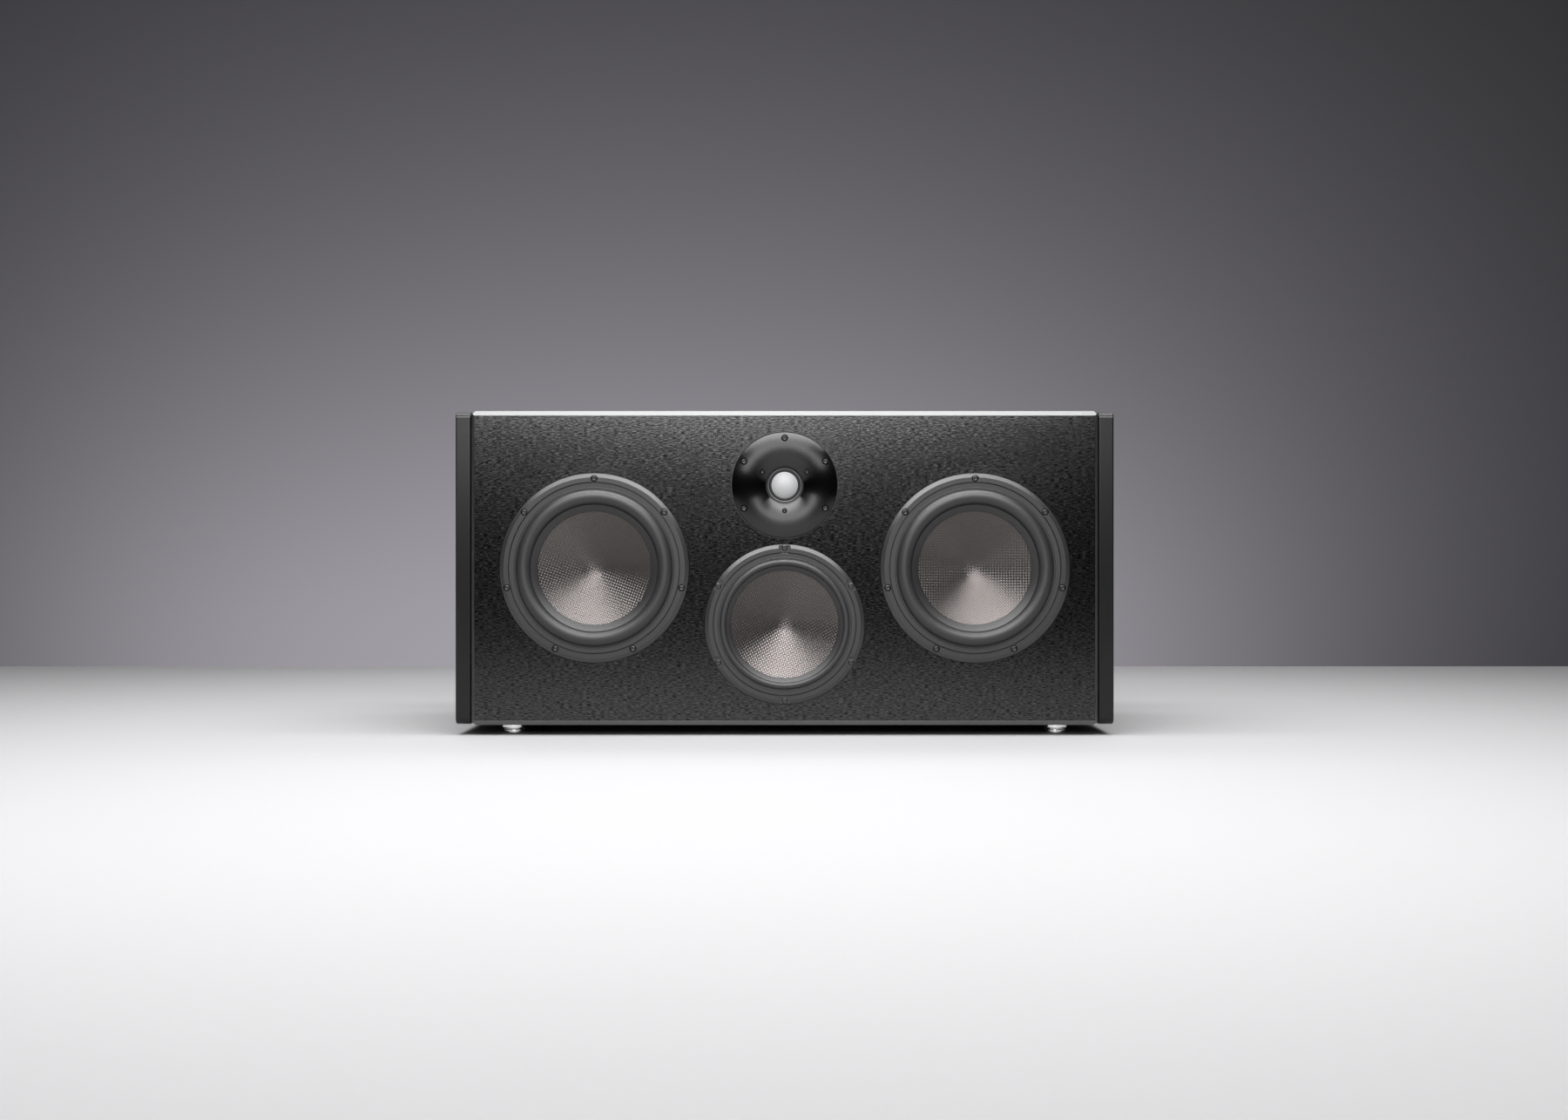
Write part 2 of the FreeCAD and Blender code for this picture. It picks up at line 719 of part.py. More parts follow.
def make_basket(label, lay, at):
    """A cast basket: a bevelled flange with a groove, a neck, a tapered wall cut into spokes and a floor."""
    size = lay.size
    wall = size("basket_wall")
    back_radius = size("basket_back_radius")
    ledge_back = lay.ledge - size("ledge_thickness")
    corners = [
        (lay.flange, lay.seat),
        (lay.flange, size("edge_proud")),
        (lay.flange - size("bevel_width"), size("face_proud")),
        (lay.rim_inner, size("face_proud")),
        (lay.rim_inner, lay.ledge),
        (lay.opening, lay.ledge),
        (lay.opening, ledge_back),
        (lay.neck - wall, ledge_back - wall),
        (lay.neck - wall, lay.shoulder),
        (back_radius - wall, lay.floor),
        (size("basket_bore"), lay.floor),
        (size("basket_bore"), lay.back),
        (back_radius, lay.back),
        (back_radius, lay.floor),
        (lay.neck, lay.shoulder),
        (lay.neck, lay.seat),
    ]
    body = turned(label, corners, FRONT_TURN, at)
    half_turn = 180 / size("window_count")
    margin = size("window_margin")
    half_spoke = size("spoke_width") / 2
    inner_run = back_radius + margin
    outer_run = lay.neck - wall - margin
    inner_x = inner_run * cosine(half_turn) + half_spoke * sine(half_turn)
    inner_y = inner_run * sine(half_turn) - half_spoke * cosine(half_turn)
    outer_x = outer_run * cosine(half_turn) + half_spoke * sine(half_turn)
    outer_y = outer_run * sine(half_turn) - half_spoke * cosine(half_turn)
    inner_rise = root(inner_x * inner_x + inner_y * inner_y) - inner_x
    outer_rise = root(outer_x * outer_x + outer_y * outer_y) - outer_x
    sketch = new_sketch(body, "Window", shift=(0, 0, lay.shoulder), spin=cell("screw_start_angle"))
    bind(sketch, "AttachmentOffset.Rotation.Angle", cell("screw_start_angle"))
    window = [
        (inner_x, -inner_y, inner_rise),
        (outer_x, -outer_y),
        (outer_x, outer_y, -outer_rise),
        (inner_x, inner_y),
    ]
    draw_outline(sketch, window)
    first = pocket(body, "WindowCut", sketch)
    polar(body, "Windows", [first], sketch, size("window_count"))
    spot_depth = size("face_proud") + size("spot_drop")
    hole_ring(body, "Spot", lay.ring, size("spot_radius"), spot_depth, 2 * size("spot_drop"))
    counterbore = cell("screw_head_radius") + cell("counterbore_clearance")
    hole_ring(body, "Counterbore", lay.ring, counterbore, size("face_proud"), cell("counterbore_depth"))
    clearance = cell("screw_shank_radius") + cell("shank_clearance")
    hole_ring(body, "Hole", lay.ring, clearance, size("face_proud"), size("face_proud") - 2 * lay.seat)
    return body


def make_surround(label, lay, at):
    """A rubber surround: a flat outer flange, a half roll and an inner flange glued on the cone."""
    size = lay.size
    skin = size("surround_skin")
    rise = size("roll_height")
    top = lay.surround_top
    inner_drop = size("glue_width") * lay.slope
    corners = [
        (lay.surround_outer, lay.ledge),
        (lay.surround_outer, top),
        (lay.roll_outer, top),
        (lay.roll_inner, top, -rise),
        (lay.cloth, top - inner_drop),
        (lay.cloth, top - skin - inner_drop),
        (lay.roll_inner, top - skin),
        (lay.roll_inner + skin, top - skin),
        (lay.roll_outer - skin, top - skin, rise),
        (lay.roll_outer - skin, lay.ledge),
    ]
    return turned(label, corners, FRONT_TURN, at)


def make_cone(label, lay, at):
    """A stiff woven cone with straight walls and a rounded middle, of even thickness."""
    size = lay.size
    skin = size("cone_skin")
    half_angle = size("cone_angle") / 2
    bow = 1 - cosine(half_angle)
    inner = size("cone_round")
    outer = inner + skin
    back_tangent = outer * sine(size("cone_angle"))
    front_dip = lay.tangent_height - lay.dip
    corners = [
        (lay.roll_inner, lay.cone_back(lay.roll_inner)),
        (lay.roll_inner, lay.cone_rim),
        (lay.tangent_radius, lay.tangent_height),
        (0, front_dip, inner * bow),
        (0, front_dip - skin),
        (back_tangent, lay.cone_back(back_tangent), -(outer * bow)),
    ]
    return turned(label, corners, FRONT_TURN, at)


def make_voice_coil(label, lay, at):
    """A coil wound on a thin former that reaches up to the cone's back."""
    size = lay.size
    radius = size("coil_radius")
    winding_top = lay.coil_bottom + size("winding_height")
    corners = [
        (radius, lay.coil_bottom),
        (lay.winding_outer, lay.coil_bottom),
        (lay.winding_outer, winding_top),
        (lay.former_outer, winding_top),
        (lay.former_outer, lay.cone_back(lay.former_outer)),
        (radius, lay.cone_back(radius)),
    ]
    return turned(label, corners, FRONT_TURN, at)


def make_spider(label, lay, at):
    """A folded cloth ring that centres the coil, with a rim that stands on the basket's floor."""
    size = lay.size
    top = lay.floor + size("spider_rise")
    skin = size("spider_skin")
    inner = lay.former_outer + cell("running_gap")
    outer = size("basket_back_radius") - size("basket_wall") - cell("running_gap")
    rim = outer - size("spider_rim")
    folds = range(SPIDER_FOLDS + 1)
    radii = [inner + (rim - inner) * (fold / SPIDER_FOLDS) for fold in folds]
    heights = [top - size("spider_wave") if fold % 2 else top for fold in folds]
    under = [(radius, height - skin) for radius, height in zip(radii, heights)]
    over = list(zip(radii, heights))[::-1]
    corners = under + [(rim, lay.floor), (outer, lay.floor), (outer, top)] + over
    return turned(label, corners, FRONT_TURN, at)


def make_motor(label, lay, at):
    """The front plate, magnet ring and yoke with its vented pole."""
    size = lay.size
    gap = size("magnet_gap")
    plate_bore = lay.winding_outer + gap
    pole = size("coil_radius") - gap
    plate = box_corners(plate_bore, size("plate_radius"), lay.plate_back, lay.back)
    turned(f"{label}_front_plate", plate, FRONT_TURN, at)
    magnet = box_corners(size("magnet_bore"), size("magnet_radius"), lay.magnet_back, lay.plate_back)
    turned(f"{label}_magnet", magnet, FRONT_TURN, at)
    yoke = [
        (size("vent_radius"), lay.yoke_back),
        (size("yoke_radius"), lay.yoke_back),
        (size("yoke_radius"), lay.magnet_back),
        (pole, lay.magnet_back),
        (pole, lay.back),
        (size("vent_radius"), lay.back),
    ]
    turned(f"{label}_yoke", yoke, FRONT_TURN, at)


def make_cone_driver(label, lay, across, up):
    """All the pieces of one cone driver about its axis."""
    at = (across, front_y, body_middle + up)
    make_basket(f"{label}_basket", lay, at)
    make_surround(f"{label}_surround", lay, at)
    make_cone(f"{label}_cone", lay, at)
    make_voice_coil(f"{label}_voice_coil", lay, at)
    make_spider(f"{label}_spider", lay, at)
    make_motor(label, lay, at)
    head = (cell("screw_head_radius"), cell("screw_head_height"))
    shank = (cell("screw_shank_radius"), cell("screw_length"))
    socket = (cell("screw_socket_radius"), cell("screw_socket_depth"))
    screw_ring(f"{label}_screws", lay.ring, lay.screw_seat, *head, *shank, socket, FRONT_TURN, at)


make_cone_driver("left_woofer", WOOFER, -woofer_offset, 0)
make_cone_driver("right_woofer", WOOFER, woofer_offset, 0)
make_cone_driver("midrange", MIDRANGE, 0, -cell("midrange_drop"))

# Tweeter
tweeter_at = (0, front_y, body_middle + cell("tweeter_rise"))
tweeter_face = -cell("tweeter_boss_depth")
tweeter_shoulder = -cell("tweeter_shoulder_drop")
tweeter_ring = (
    cell("tweeter_screw_pitch"),
    cell("tweeter_screw_count"),
    cell("tweeter_screw_start_angle"),
    cell("tweeter_screw_sweep_angle"),
)
clamp_ring = (cell("clamp_screw_pitch"), cell("clamp_screw_count"), cell("clamp_screw_start_angle"), None)
tweeter_motor_depth = (
    cell("tweeter_front_thickness") + cell("tweeter_magnet_thickness") + cell("tweeter_yoke_thickness")
)
tweeter_depth = cell("tweeter_boss_depth") + tweeter_motor_depth + cell("tweeter_chamber_depth")
tweeter_seat = -cell("tweeter_seat_depth")
clamp_seat = -cell("clamp_screw_seat")


def make_faceplate():
    """A round plate with a crowned front, a throat, a boss behind it and two rings of screw holes."""
    plate = cell("tweeter_plate_radius")
    boss = cell("tweeter_boss_radius")
    seat = -cell("recess_depth")
    throat = cell("tweeter_throat_radius")
    bore = cell("tweeter_ring_radius") + cell("tweeter_ring_clearance")
    corners = [
        (plate, seat),
        (plate, -cell("tweeter_edge_drop")),
        (throat, -cell("tweeter_throat_drop"), -cell("tweeter_crown")),
        (throat, tweeter_shoulder),
        (bore, tweeter_shoulder),
        (bore, tweeter_face),
        (boss, tweeter_face),
        (boss, seat),
    ]
    body = turned("tweeter_faceplate", corners, FRONT_TURN, tweeter_at)
    top = cell("tweeter_crown") + cell("screw_head_height")
    counterbore = cell("screw_head_radius") + cell("counterbore_clearance")
    hole_ring(body, "Counterbore", tweeter_ring, counterbore, top, top - tweeter_seat)
    clearance = cell("screw_shank_radius") + cell("shank_clearance")
    hole_ring(body, "Hole", tweeter_ring, clearance, top)
    clamp_counterbore = cell("clamp_head_radius") + cell("clamp_counterbore_clearance")
    hole_ring(body, "ClampCounterbore", clamp_ring, clamp_counterbore, top, top - clamp_seat)
    clamp_clearance = cell("clamp_shank_radius") + cell("shank_clearance")
    hole_ring(body, "ClampHole", clamp_ring, clamp_clearance, top)


def make_tweeter():
    """The tweeter's diaphragm, motor and rear chamber, behind its faceplate."""
    make_faceplate()
    dome = cell("tweeter_dome_radius")
    skin = cell("tweeter_dome_skin")
    base = -cell("tweeter_dome_drop")
    height = cell("tweeter_dome_height")
    dome_corners = [
        (dome, base),
        (0, base + height, -dome_rise(dome, height)),
        (0, base + height - skin),
        (dome - skin, base, dome_rise(dome - skin, height - skin)),
    ]
    turned("tweeter_dome", dome_corners, FRONT_TURN, tweeter_at)
    ring = cell("tweeter_ring_radius")
    soft = cell("tweeter_surround_skin")
    roll_inner = dome + cell("tweeter_dome_gap")
    roll_outer = roll_inner + cell("tweeter_roll_width")
    rise = cell("tweeter_roll_height")
    surround_corners = [
        (roll_inner, base - soft),
        (roll_outer, base - soft, rise),
        (roll_outer, tweeter_face),
        (ring, tweeter_face),
        (ring, tweeter_shoulder),
        (roll_outer, tweeter_shoulder),
        (roll_outer, base),
        (roll_inner, base, -rise),
    ]
    turned("tweeter_surround", surround_corners, FRONT_TURN, tweeter_at)
    front_back = tweeter_face - cell("tweeter_front_thickness")
    former_inner = dome - cell("tweeter_former_wall")
    winding_outer = dome + cell("tweeter_winding_wall")
    coil_middle = tweeter_face - cell("tweeter_front_thickness") / 2
    coil_top = coil_middle + cell("tweeter_winding_height") / 2
    coil_bottom = coil_middle - cell("tweeter_winding_height") / 2
    coil_corners = [
        (former_inner, coil_bottom),
        (winding_outer, coil_bottom),
        (winding_outer, coil_top),
        (dome, coil_top),
        (dome, base),
        (former_inner, base),
    ]
    turned("tweeter_voice_coil", coil_corners, FRONT_TURN, tweeter_at)
    gap = cell("tweeter_magnet_gap")
    front_radius = cell("tweeter_front_radius")
    front_corners = box_corners(winding_outer + gap, front_radius, front_back, tweeter_face)
    front = turned("tweeter_front_plate", front_corners, FRONT_TURN, tweeter_at)
    thread = cell("clamp_shank_radius") + cell("thread_clearance")
    hole_ring(front, "ClampThread", clamp_ring, thread, tweeter_face)
    magnet_back = front_back - cell("tweeter_magnet_thickness")
    magnet_bore = cell("tweeter_magnet_bore")
    magnet_corners = box_corners(magnet_bore, cell("tweeter_magnet_radius"), magnet_back, front_back)
    turned("tweeter_magnet", magnet_corners, FRONT_TURN, tweeter_at)
    yoke_back = magnet_back - cell("tweeter_yoke_thickness")
    pole = former_inner - gap
    vent = cell("tweeter_vent_radius")
    yoke_corners = [
        (vent, yoke_back),
        (cell("tweeter_yoke_radius"), yoke_back),
        (cell("tweeter_yoke_radius"), magnet_back),
        (pole, magnet_back),
        (pole, tweeter_face),
        (vent, tweeter_face),
    ]
    turned("tweeter_yoke", yoke_corners, FRONT_TURN, tweeter_at)
    chamber = cell("tweeter_chamber_radius")
    wall = cell("tweeter_chamber_wall")
    chamber_back = yoke_back - cell("tweeter_chamber_depth")
    chamber_corners = [
        (0, chamber_back),
        (chamber, chamber_back),
        (chamber, yoke_back),
        (chamber - wall, yoke_back),
        (chamber - wall, chamber_back + wall),
        (0, chamber_back + wall),
    ]
    turned("tweeter_rear_chamber", chamber_corners, FRONT_TURN, tweeter_at)
    head = (cell("screw_head_radius"), cell("screw_head_height"))
    shank = (cell("screw_shank_radius"), cell("screw_length"))
    socket = (cell("screw_socket_radius"), cell("screw_socket_depth"))
    screw_ring("tweeter_screws", tweeter_ring, tweeter_seat, *head, *shank, socket, FRONT_TURN, tweeter_at)
    head = (cell("clamp_head_radius"), cell("clamp_head_height"))
    shank = (cell("clamp_shank_radius"), cell("clamp_screw_length"))
    socket = (cell("clamp_socket_radius"), cell("clamp_socket_depth"))
    screw_ring("tweeter_clamp_screws", clamp_ring, clamp_seat, *head, *shank, socket, FRONT_TURN, tweeter_at)


def dome_rise(radius, height):
    """The rise of the half arc over a dome's section, from its rim to its top."""
    sphere = (radius * radius + height * height) / (2 * height)
    chord = root(radius * radius + height * height)
    return sphere - root(sphere * sphere - chord * chord / 4)


make_tweeter()

# Cabinet
baffle_seats = (
    (-woofer_offset, 0, WOOFER),
    (woofer_offset, 0, WOOFER),
    (0, -cell("midrange_drop"), MIDRANGE),
)


def make_baffle():
    """The front baffle: bevelled edges, a recess and an opening for each driver, and its screw holes."""
    body = new_body("front_baffle", FRONT_TURN, (0, front_y, body_middle))
    sketch = new_sketch(body, "Outline")
    draw_outline(sketch, cut_corner_box(body_width, cell("body_height"), cell("body_corner_cut")))
    plate = pad(body, "Plate", sketch, cell("baffle_thickness"), backwards=True)
    long_edge = at_front_edge("Y", cell("body_height") / 2)
    end_edge = at_front_edge("X", body_width / 2)
    bevel = dress(body, "Chamfer", "LongBevel", plate, long_edge, "Size", cell("baffle_edge_bevel"))
    dress(body, "Chamfer", "EndBevel", bevel, end_edge, "Size", cell("baffle_end_bevel"))
    gap = cell("recess_clearance")
    room = cell("opening_clearance")
    recesses = new_sketch(body, "Recesses")
    openings = new_sketch(body, "Openings")
    for across, up, lay in baffle_seats:
        draw_circle(recesses, across, up, lay.flange + gap)
        draw_circle(openings, across, up, lay.neck + room)
    draw_circle(recesses, 0, cell("tweeter_rise"), cell("tweeter_plate_radius") + gap)
    draw_circle(openings, 0, cell("tweeter_rise"), cell("tweeter_boss_radius") + room)
    pocket(body, "RecessCut", recesses, cell("recess_depth"))
    pocket(body, "OpeningCut", openings)
    thread = cell("screw_shank_radius") + cell("thread_clearance")
    for index, (across, up, lay) in enumerate(baffle_seats):
        hole_ring(body, f"Thread{index}", lay.ring, thread, 0, middle=(across, up))
    hole_ring(body, "TweeterThread", tweeter_ring, thread, 0, middle=(0, cell("tweeter_rise")))


def make_panels():
    """The top and bottom panels between the baffle and the rear panel, and the two dividers."""
    across = body_width / 2
    thickness = cell("panel_thickness")
    cut = cell("body_corner_cut")

    def panel_end(outward):
        rim = outward * (thickness - cut)
        face = outward * thickness
        inner_edge = [(-across, 0), (across, 0)]
        outer_edge = [(across, rim), (across - cut, face), (cut - across, face), (-across, rim)]
        return inner_edge + outer_edge

    top = new_body("top_panel", at=(0, inner_front, inner_bottom + inner_height))
    sketch = new_sketch(top, "End", "XZ_Plane")
    draw_outline(sketch, panel_end(1))
    pad(top, "Plate", sketch, inner_depth, backwards=True)
    bottom = new_body("bottom_panel", at=(0, inner_front, inner_bottom))
    sketch = new_sketch(bottom, "End", "XZ_Plane")
    draw_outline(sketch, panel_end(-1))
    pad(bottom, "Plate", sketch, inner_depth, backwards=True)
    studs = new_sketch(bottom, "Studs")
    near = cell("foot_inset") - cell("baffle_thickness")
    far = cell("cabinet_depth") - cell("foot_inset") - cell("baffle_thickness")
    stud_hole = cell("foot_stud_radius") + cell("foot_stud_clearance")
    for x in (-foot_offset, foot_offset):
        draw_circle(studs, x, near, stud_hole)
        draw_circle(studs, x, far, stud_hole)
    pocket(bottom, "StudHoles", studs)
    for label, side in (("left_divider", -1), ("right_divider", 1)):
        divider = new_body(label, at=(side * divider_offset, inner_front, inner_bottom))
        sketch = new_sketch(divider, "Plan")
        half = cell("divider_thickness") / 2
        draw_outline(sketch, box_corners(-half, half, 0, inner_depth))
        pad(divider, "Plate", sketch, inner_height)
        hole = new_sketch(divider, "CableHole", "YZ_Plane", shift=(0, 0, half))
        draw_circle(hole, cable_hole_y, cable_hole_z, cell("divider_cable_hole_radius"))
        pocket(divider, "CableCut", hole)


def rear_screw_rows():
    """The heights of the two rows of rear screws, and the first column, in the rear panel's own plane."""
    up = (cell("body_height") - cell("panel_thickness")) / 2
    return (-up, up), cell("rear_screw_margin") - body_width / 2


def make_rear():
    """The rear panel with its holes for screws and binding posts, and the screws."""
    body = new_body("rear_panel", REAR_TURN, (0, rear_y, body_middle))
    sketch = new_sketch(body, "Outline")
    draw_outline(sketch, cut_corner_box(body_width, cell("body_height"), cell("body_corner_cut")))
    plate = pad(body, "Plate", sketch, cell("rear_thickness"), backwards=True)
    long_edge = at_front_edge("Y", cell("body_height") / 2)
    dress(body, "Chamfer", "LongBevel", plate, long_edge, "Size", cell("rear_edge_bevel"))
    posts = new_sketch(body, "Posts")
    post_hole = cell("insulator_bush_radius") + cell("insulator_clearance")
    for x in (-cell("post_spacing") / 2, cell("post_spacing") / 2):
        draw_circle(posts, x, cell("post_drop"), post_hole)
    pocket(body, "PostHoles", posts)
    rows, first = rear_screw_rows()
    run = body_width - 2 * cell("rear_screw_margin")
    seats = new_sketch(body, "ScrewSeats")
    holes = new_sketch(body, "ScrewHoles")
    for up in rows:
        draw_circle(seats, first, up, cell("rear_screw_head_radius") + cell("shank_clearance"))
        draw_circle(holes, first, up, cell("rear_screw_shank_radius") + cell("shank_clearance"))
    seat_cut = pocket(body, "ScrewSeatCut", seats, cell("rear_screw_sink"))
    hole_cut = pocket(body, "ScrewHoleCut", holes)
    linear(body, "ScrewRow", [seat_cut, hole_cut], "X_Axis", run, cell("rear_screw_columns"))
    screws = new_body("rear_panel_screws", REAR_TURN, (0, rear_y, body_middle))
    screws.AllowCompound = True
    under = -cell("rear_screw_sink")
    heads = new_sketch(screws, "Heads", shift=(0, 0, under))
    shanks = new_sketch(screws, "Shanks", shift=(0, 0, under))
    sockets = new_sketch(screws, "Sockets", shift=(0, 0, under + cell("rear_screw_head_height")))
    for up in rows:
        draw_circle(heads, first, up, cell("rear_screw_head_radius"))
        draw_circle(shanks, first, up, cell("rear_screw_shank_radius"))
        draw_circle(sockets, first, up, cell("screw_socket_radius"))
    head_pad = pad(screws, "HeadPad", heads, cell("rear_screw_head_height"))
    shank_pad = pad(screws, "ShankPad", shanks, cell("rear_screw_length"), backwards=True)
    socket_cut = pocket(screws, "SocketCut", sockets, cell("screw_socket_depth"))
    linear(screws, "Row", [head_pad, shank_pad, socket_cut], "X_Axis", run, cell("rear_screw_columns"))


def drill_panel_ends():
    """The threaded holes for the rear screws in the rear ends of the top and bottom panels."""
    rows, first = rear_screw_rows()
    run = body_width - 2 * cell("rear_screw_margin")
    reach = cell("rear_screw_length") + cell("rear_screw_sink") - cell("rear_thickness")
    depth = reach + cell("post_clearance")
    radius = cell("rear_screw_shank_radius") + cell("thread_clearance")
    for label, side in (("top_panel", 1), ("bottom_panel", -1)):
        body = doc.getObject(label)
        sketch = new_sketch(body, "ScrewEnd", "XZ_Plane", shift=(0, 0, -inner_depth))
        draw_circle(sketch, first, side * cell("panel_thickness") / 2, radius)
        hole = pocket(body, "ScrewThread", sketch, depth)
        hole.Reversed = True
        linear(body, "ScrewThreads", [hole], "X_Axis", run, cell("rear_screw_columns"))


def make_side(label, side):
    """An end panel with rounded corners and bevelled edges, on a raised land that meets the body."""
    outer = side * half_width
    body = new_body(label, at=(outer, front_y, body_bottom))
    near = cell("side_setback")
    far = cell("cabinet_depth")
    low = cell("side_drop")
    high = cell("body_height") - cell("side_drop")
    sketch = new_sketch(body, "Outline", "YZ_Plane")
    draw_outline(sketch, box_corners(near, far, low, high))
    inward = side > 0
    plate = pad(body, "Plate", sketch, cell("side_thickness"), backwards=inward)

    def on_corner(edge):
        return edge.BoundBox.YLength < SAME_PLACE and edge.BoundBox.ZLength < SAME_PLACE

    round_corner = dress(body, "Fillet", "Corners", plate, on_corner, "Radius", cell("side_corner_radius"))

    def on_rim(edge):
        return edge.BoundBox.XLength < SAME_PLACE

    dress(body, "Chamfer", "Rims", round_corner, on_rim, "Size", cell("side_edge_bevel"))
    inset = cell("side_land_inset")
    depth = -side * cell("side_thickness")
    land = new_sketch(body, "Land", "YZ_Plane", shift=(0, 0, depth))
    draw_outline(land, box_corners(near + inset, far - inset, low + inset, high - inset))
    pad(body, "LandPad", land, cell("side_gap"), backwards=inward)


def make_foot(label, across, along):
    """A turned foot: a disc, a neck, a wider ring under the cabinet and a stud."""
    height = cell("foot_height")
    bevel = cell("foot_edge_bevel")
    radius = cell("foot_radius")
    disc = cell("foot_disc_height")
    ring_bottom = disc + cell("foot_neck_height")
    ring = cell("foot_ring_radius")
    corners = [
        (0, 0),
        (radius - bevel, 0),
        (radius, bevel),
        (radius, disc - bevel),
        (radius - bevel, disc),
        (cell("foot_neck_radius"), disc),
        (cell("foot_neck_radius"), ring_bottom),
        (ring - bevel, ring_bottom),
        (ring, ring_bottom + bevel),
        (ring, height),
        (cell("foot_stud_radius"), height),
        (cell("foot_stud_radius"), height + cell("foot_stud_length")),
        (0, height + cell("foot_stud_length")),
    ]
    turned(label, corners, PLAIN_TURN, (across, along, 0))


make_baffle()
make_panels()
make_rear()
drill_panel_ends()
make_side("left_side_panel", -1)
make_side("right_side_panel", 1)
front_foot_y = front_y + cell("foot_inset")
rear_foot_y = rear_y - cell("foot_inset")
make_foot("front_left_foot", -foot_offset, front_foot_y)
make_foot("front_right_foot", foot_offset, front_foot_y)
make_foot("rear_left_foot", -foot_offset, rear_foot_y)
make_foot("rear_right_foot", foot_offset, rear_foot_y)


# Binding posts
def post_group(label, corners):
    """Two turned pieces of one shape, one on each post's axis."""
    body = new_body(label, REAR_TURN, (0, rear_y, body_middle - cell("post_drop")))
    body.AllowCompound = True
    for side, name in ((-1, "Left"), (1, "Right")):
        middle = side * cell("post_spacing") / 2
        sketch = new_sketch(body, f"{name}Section", "XZ_Plane", shift=(middle, 0, 0))
        draw_outline(sketch, corners)
        turning = body.newObject("PartDesign::Revolution", name)
        turning.Profile = sketch
        turning.ReferenceAxis = (sketch, ["V_Axis"])
        turning.Angle = 360
    return body


def make_post(colour, side):
    """A turned post with a collar and a plug socket, a threaded cap nut on it and a grip round the nut."""
    at = (side * cell("post_spacing") / 2, rear_y, body_middle - cell("post_drop"))
    radius = cell("post_radius")
    collar_back = cell("insulator_thickness")
    collar_front = collar_back + cell("post_collar_thickness")
    end = cell("post_length")
    bore = cell("post_bore_radius")
    bore_end = end - cell("post_bore_depth")
    post = [
        (0, -cell("post_tail")),
        (radius, -cell("post_tail")),
        (radius, collar_back),
        (cell("post_collar_radius"), collar_back),
        (cell("post_collar_radius"), collar_front),
        (radius, collar_front),
        (radius, end),
        (bore, end),
        (bore, bore_end),
        (0, bore_end),
    ]
    turned(f"{colour}_post", post, REAR_TURN, at)
    gap = cell("running_gap")
    nut_inner = radius + gap
    nut_outer = nut_inner + cell("cap_nut_wall")
    nut_end = cap_inside + cell("cap_nut_length")
    turned(f"{colour}_cap_nut", box_corners(nut_inner, nut_outer, cap_inside, nut_end), REAR_TURN, at)
    cap_bore = nut_outer + gap
    lip = end + gap
    mouth = cell("cap_mouth_radius")
    outside = cell("cap_radius")
    bevel = cell("cap_bevel")
    cap = [
        (cap_bore, cap_inside),
        (outside - bevel, cap_inside),
        (outside, cap_inside + bevel),
        (outside, cap_end - bevel),
        (outside - bevel, cap_end),
        (mouth, cap_end),
        (mouth, lip),
        (radius + gap, lip),
        (radius + gap, nut_end + gap),
        (cap_bore, nut_end + gap),
    ]
    turned(f"{colour}_cap", cap, REAR_TURN, at)


def make_posts():
    """The insulators, posts, grips and inner nuts."""
    room = cell("post_radius") + cell("post_clearance")
    bush = cell("insulator_bush_radius")
    flange = cell("insulator_radius")
    thickness = cell("rear_thickness")
    insulator = [
        (room, -thickness),
        (bush, -thickness),
        (bush, 0),
        (flange, 0),
        (flange, cell("insulator_thickness")),
        (room, cell("insulator_thickness")),
    ]
    post_group("post_insulators", insulator)
    nut_back = -thickness - cell("post_nut_height")
    post_group("post_nuts", box_corners(room, cell("post_nut_radius"), nut_back, -thickness))
    make_post("red", 1)
    make_post("black", -1)


make_posts()


# Crossover
def make_crossover():
    """A board on stand-offs that carries its coils, capacitors and resistors."""
    back = rear_y - cell("rear_thickness") - cell("board_rear_gap")
    at = (0, back - cell("board_length") / 2, inner_bottom)
    body = new_body("crossover", at=at)
    across = cell("board_width") / 2
    along = cell("board_length") / 2
    stand = cell("board_standoff_height")
    top = stand + cell("board_thickness")
    sketch = new_sketch(body, "Board", shift=(0, 0, stand))
    draw_outline(sketch, box_corners(-across, across, -along, along))
    pad(body, "BoardPad", sketch, cell("board_thickness"))
    inset = cell("board_standoff_inset")
    legs = new_sketch(body, "Legs", shift=(0, 0, stand))
    for x in (inset - across, across - inset):
        for y in (inset - along, along - inset):
            draw_circle(legs, x, y, cell("board_standoff_radius"))
    pad(body, "LegPad", legs, stand, backwards=True)
    coils = new_sketch(body, "Coils", shift=(0, 0, top))
    reach = cell("coil_inset")
    for x in (reach - across, across - reach):
        for y in (reach - along, along - reach):
            draw_circle(coils, x, y, cell("coil_outer_radius"))
            draw_circle(coils, x, y, cell("coil_inner_radius"))
    pad(body, "CoilPad", coils, cell("coil_height"))
    cans = new_sketch(body, "Capacitors", shift=(0, 0, top))
    for x in (-cell("capacitor_pitch"), 0, cell("capacitor_pitch")):
        draw_circle(cans, x, cell("capacitor_pitch") / 2, cell("capacitor_radius"))
    pad(body, "CapacitorPad", cans, cell("capacitor_height"))
    blocks = new_sketch(body, "Resistors", shift=(0, 0, top))
    block_half_width = cell("resistor_width") / 2
    half_length = cell("resistor_length") / 2
    row = -cell("capacitor_pitch") / 2
    for step in (-1, 0, 1):
        middle = row + step * cell("resistor_pitch") - cell("resistor_pitch") / 2
        low = middle - block_half_width
        high = middle + block_half_width
        draw_outline(blocks, box_corners(-half_length, half_length, low, high))
    pad(body, "ResistorPad", blocks, cell("resistor_height"))


make_crossover()


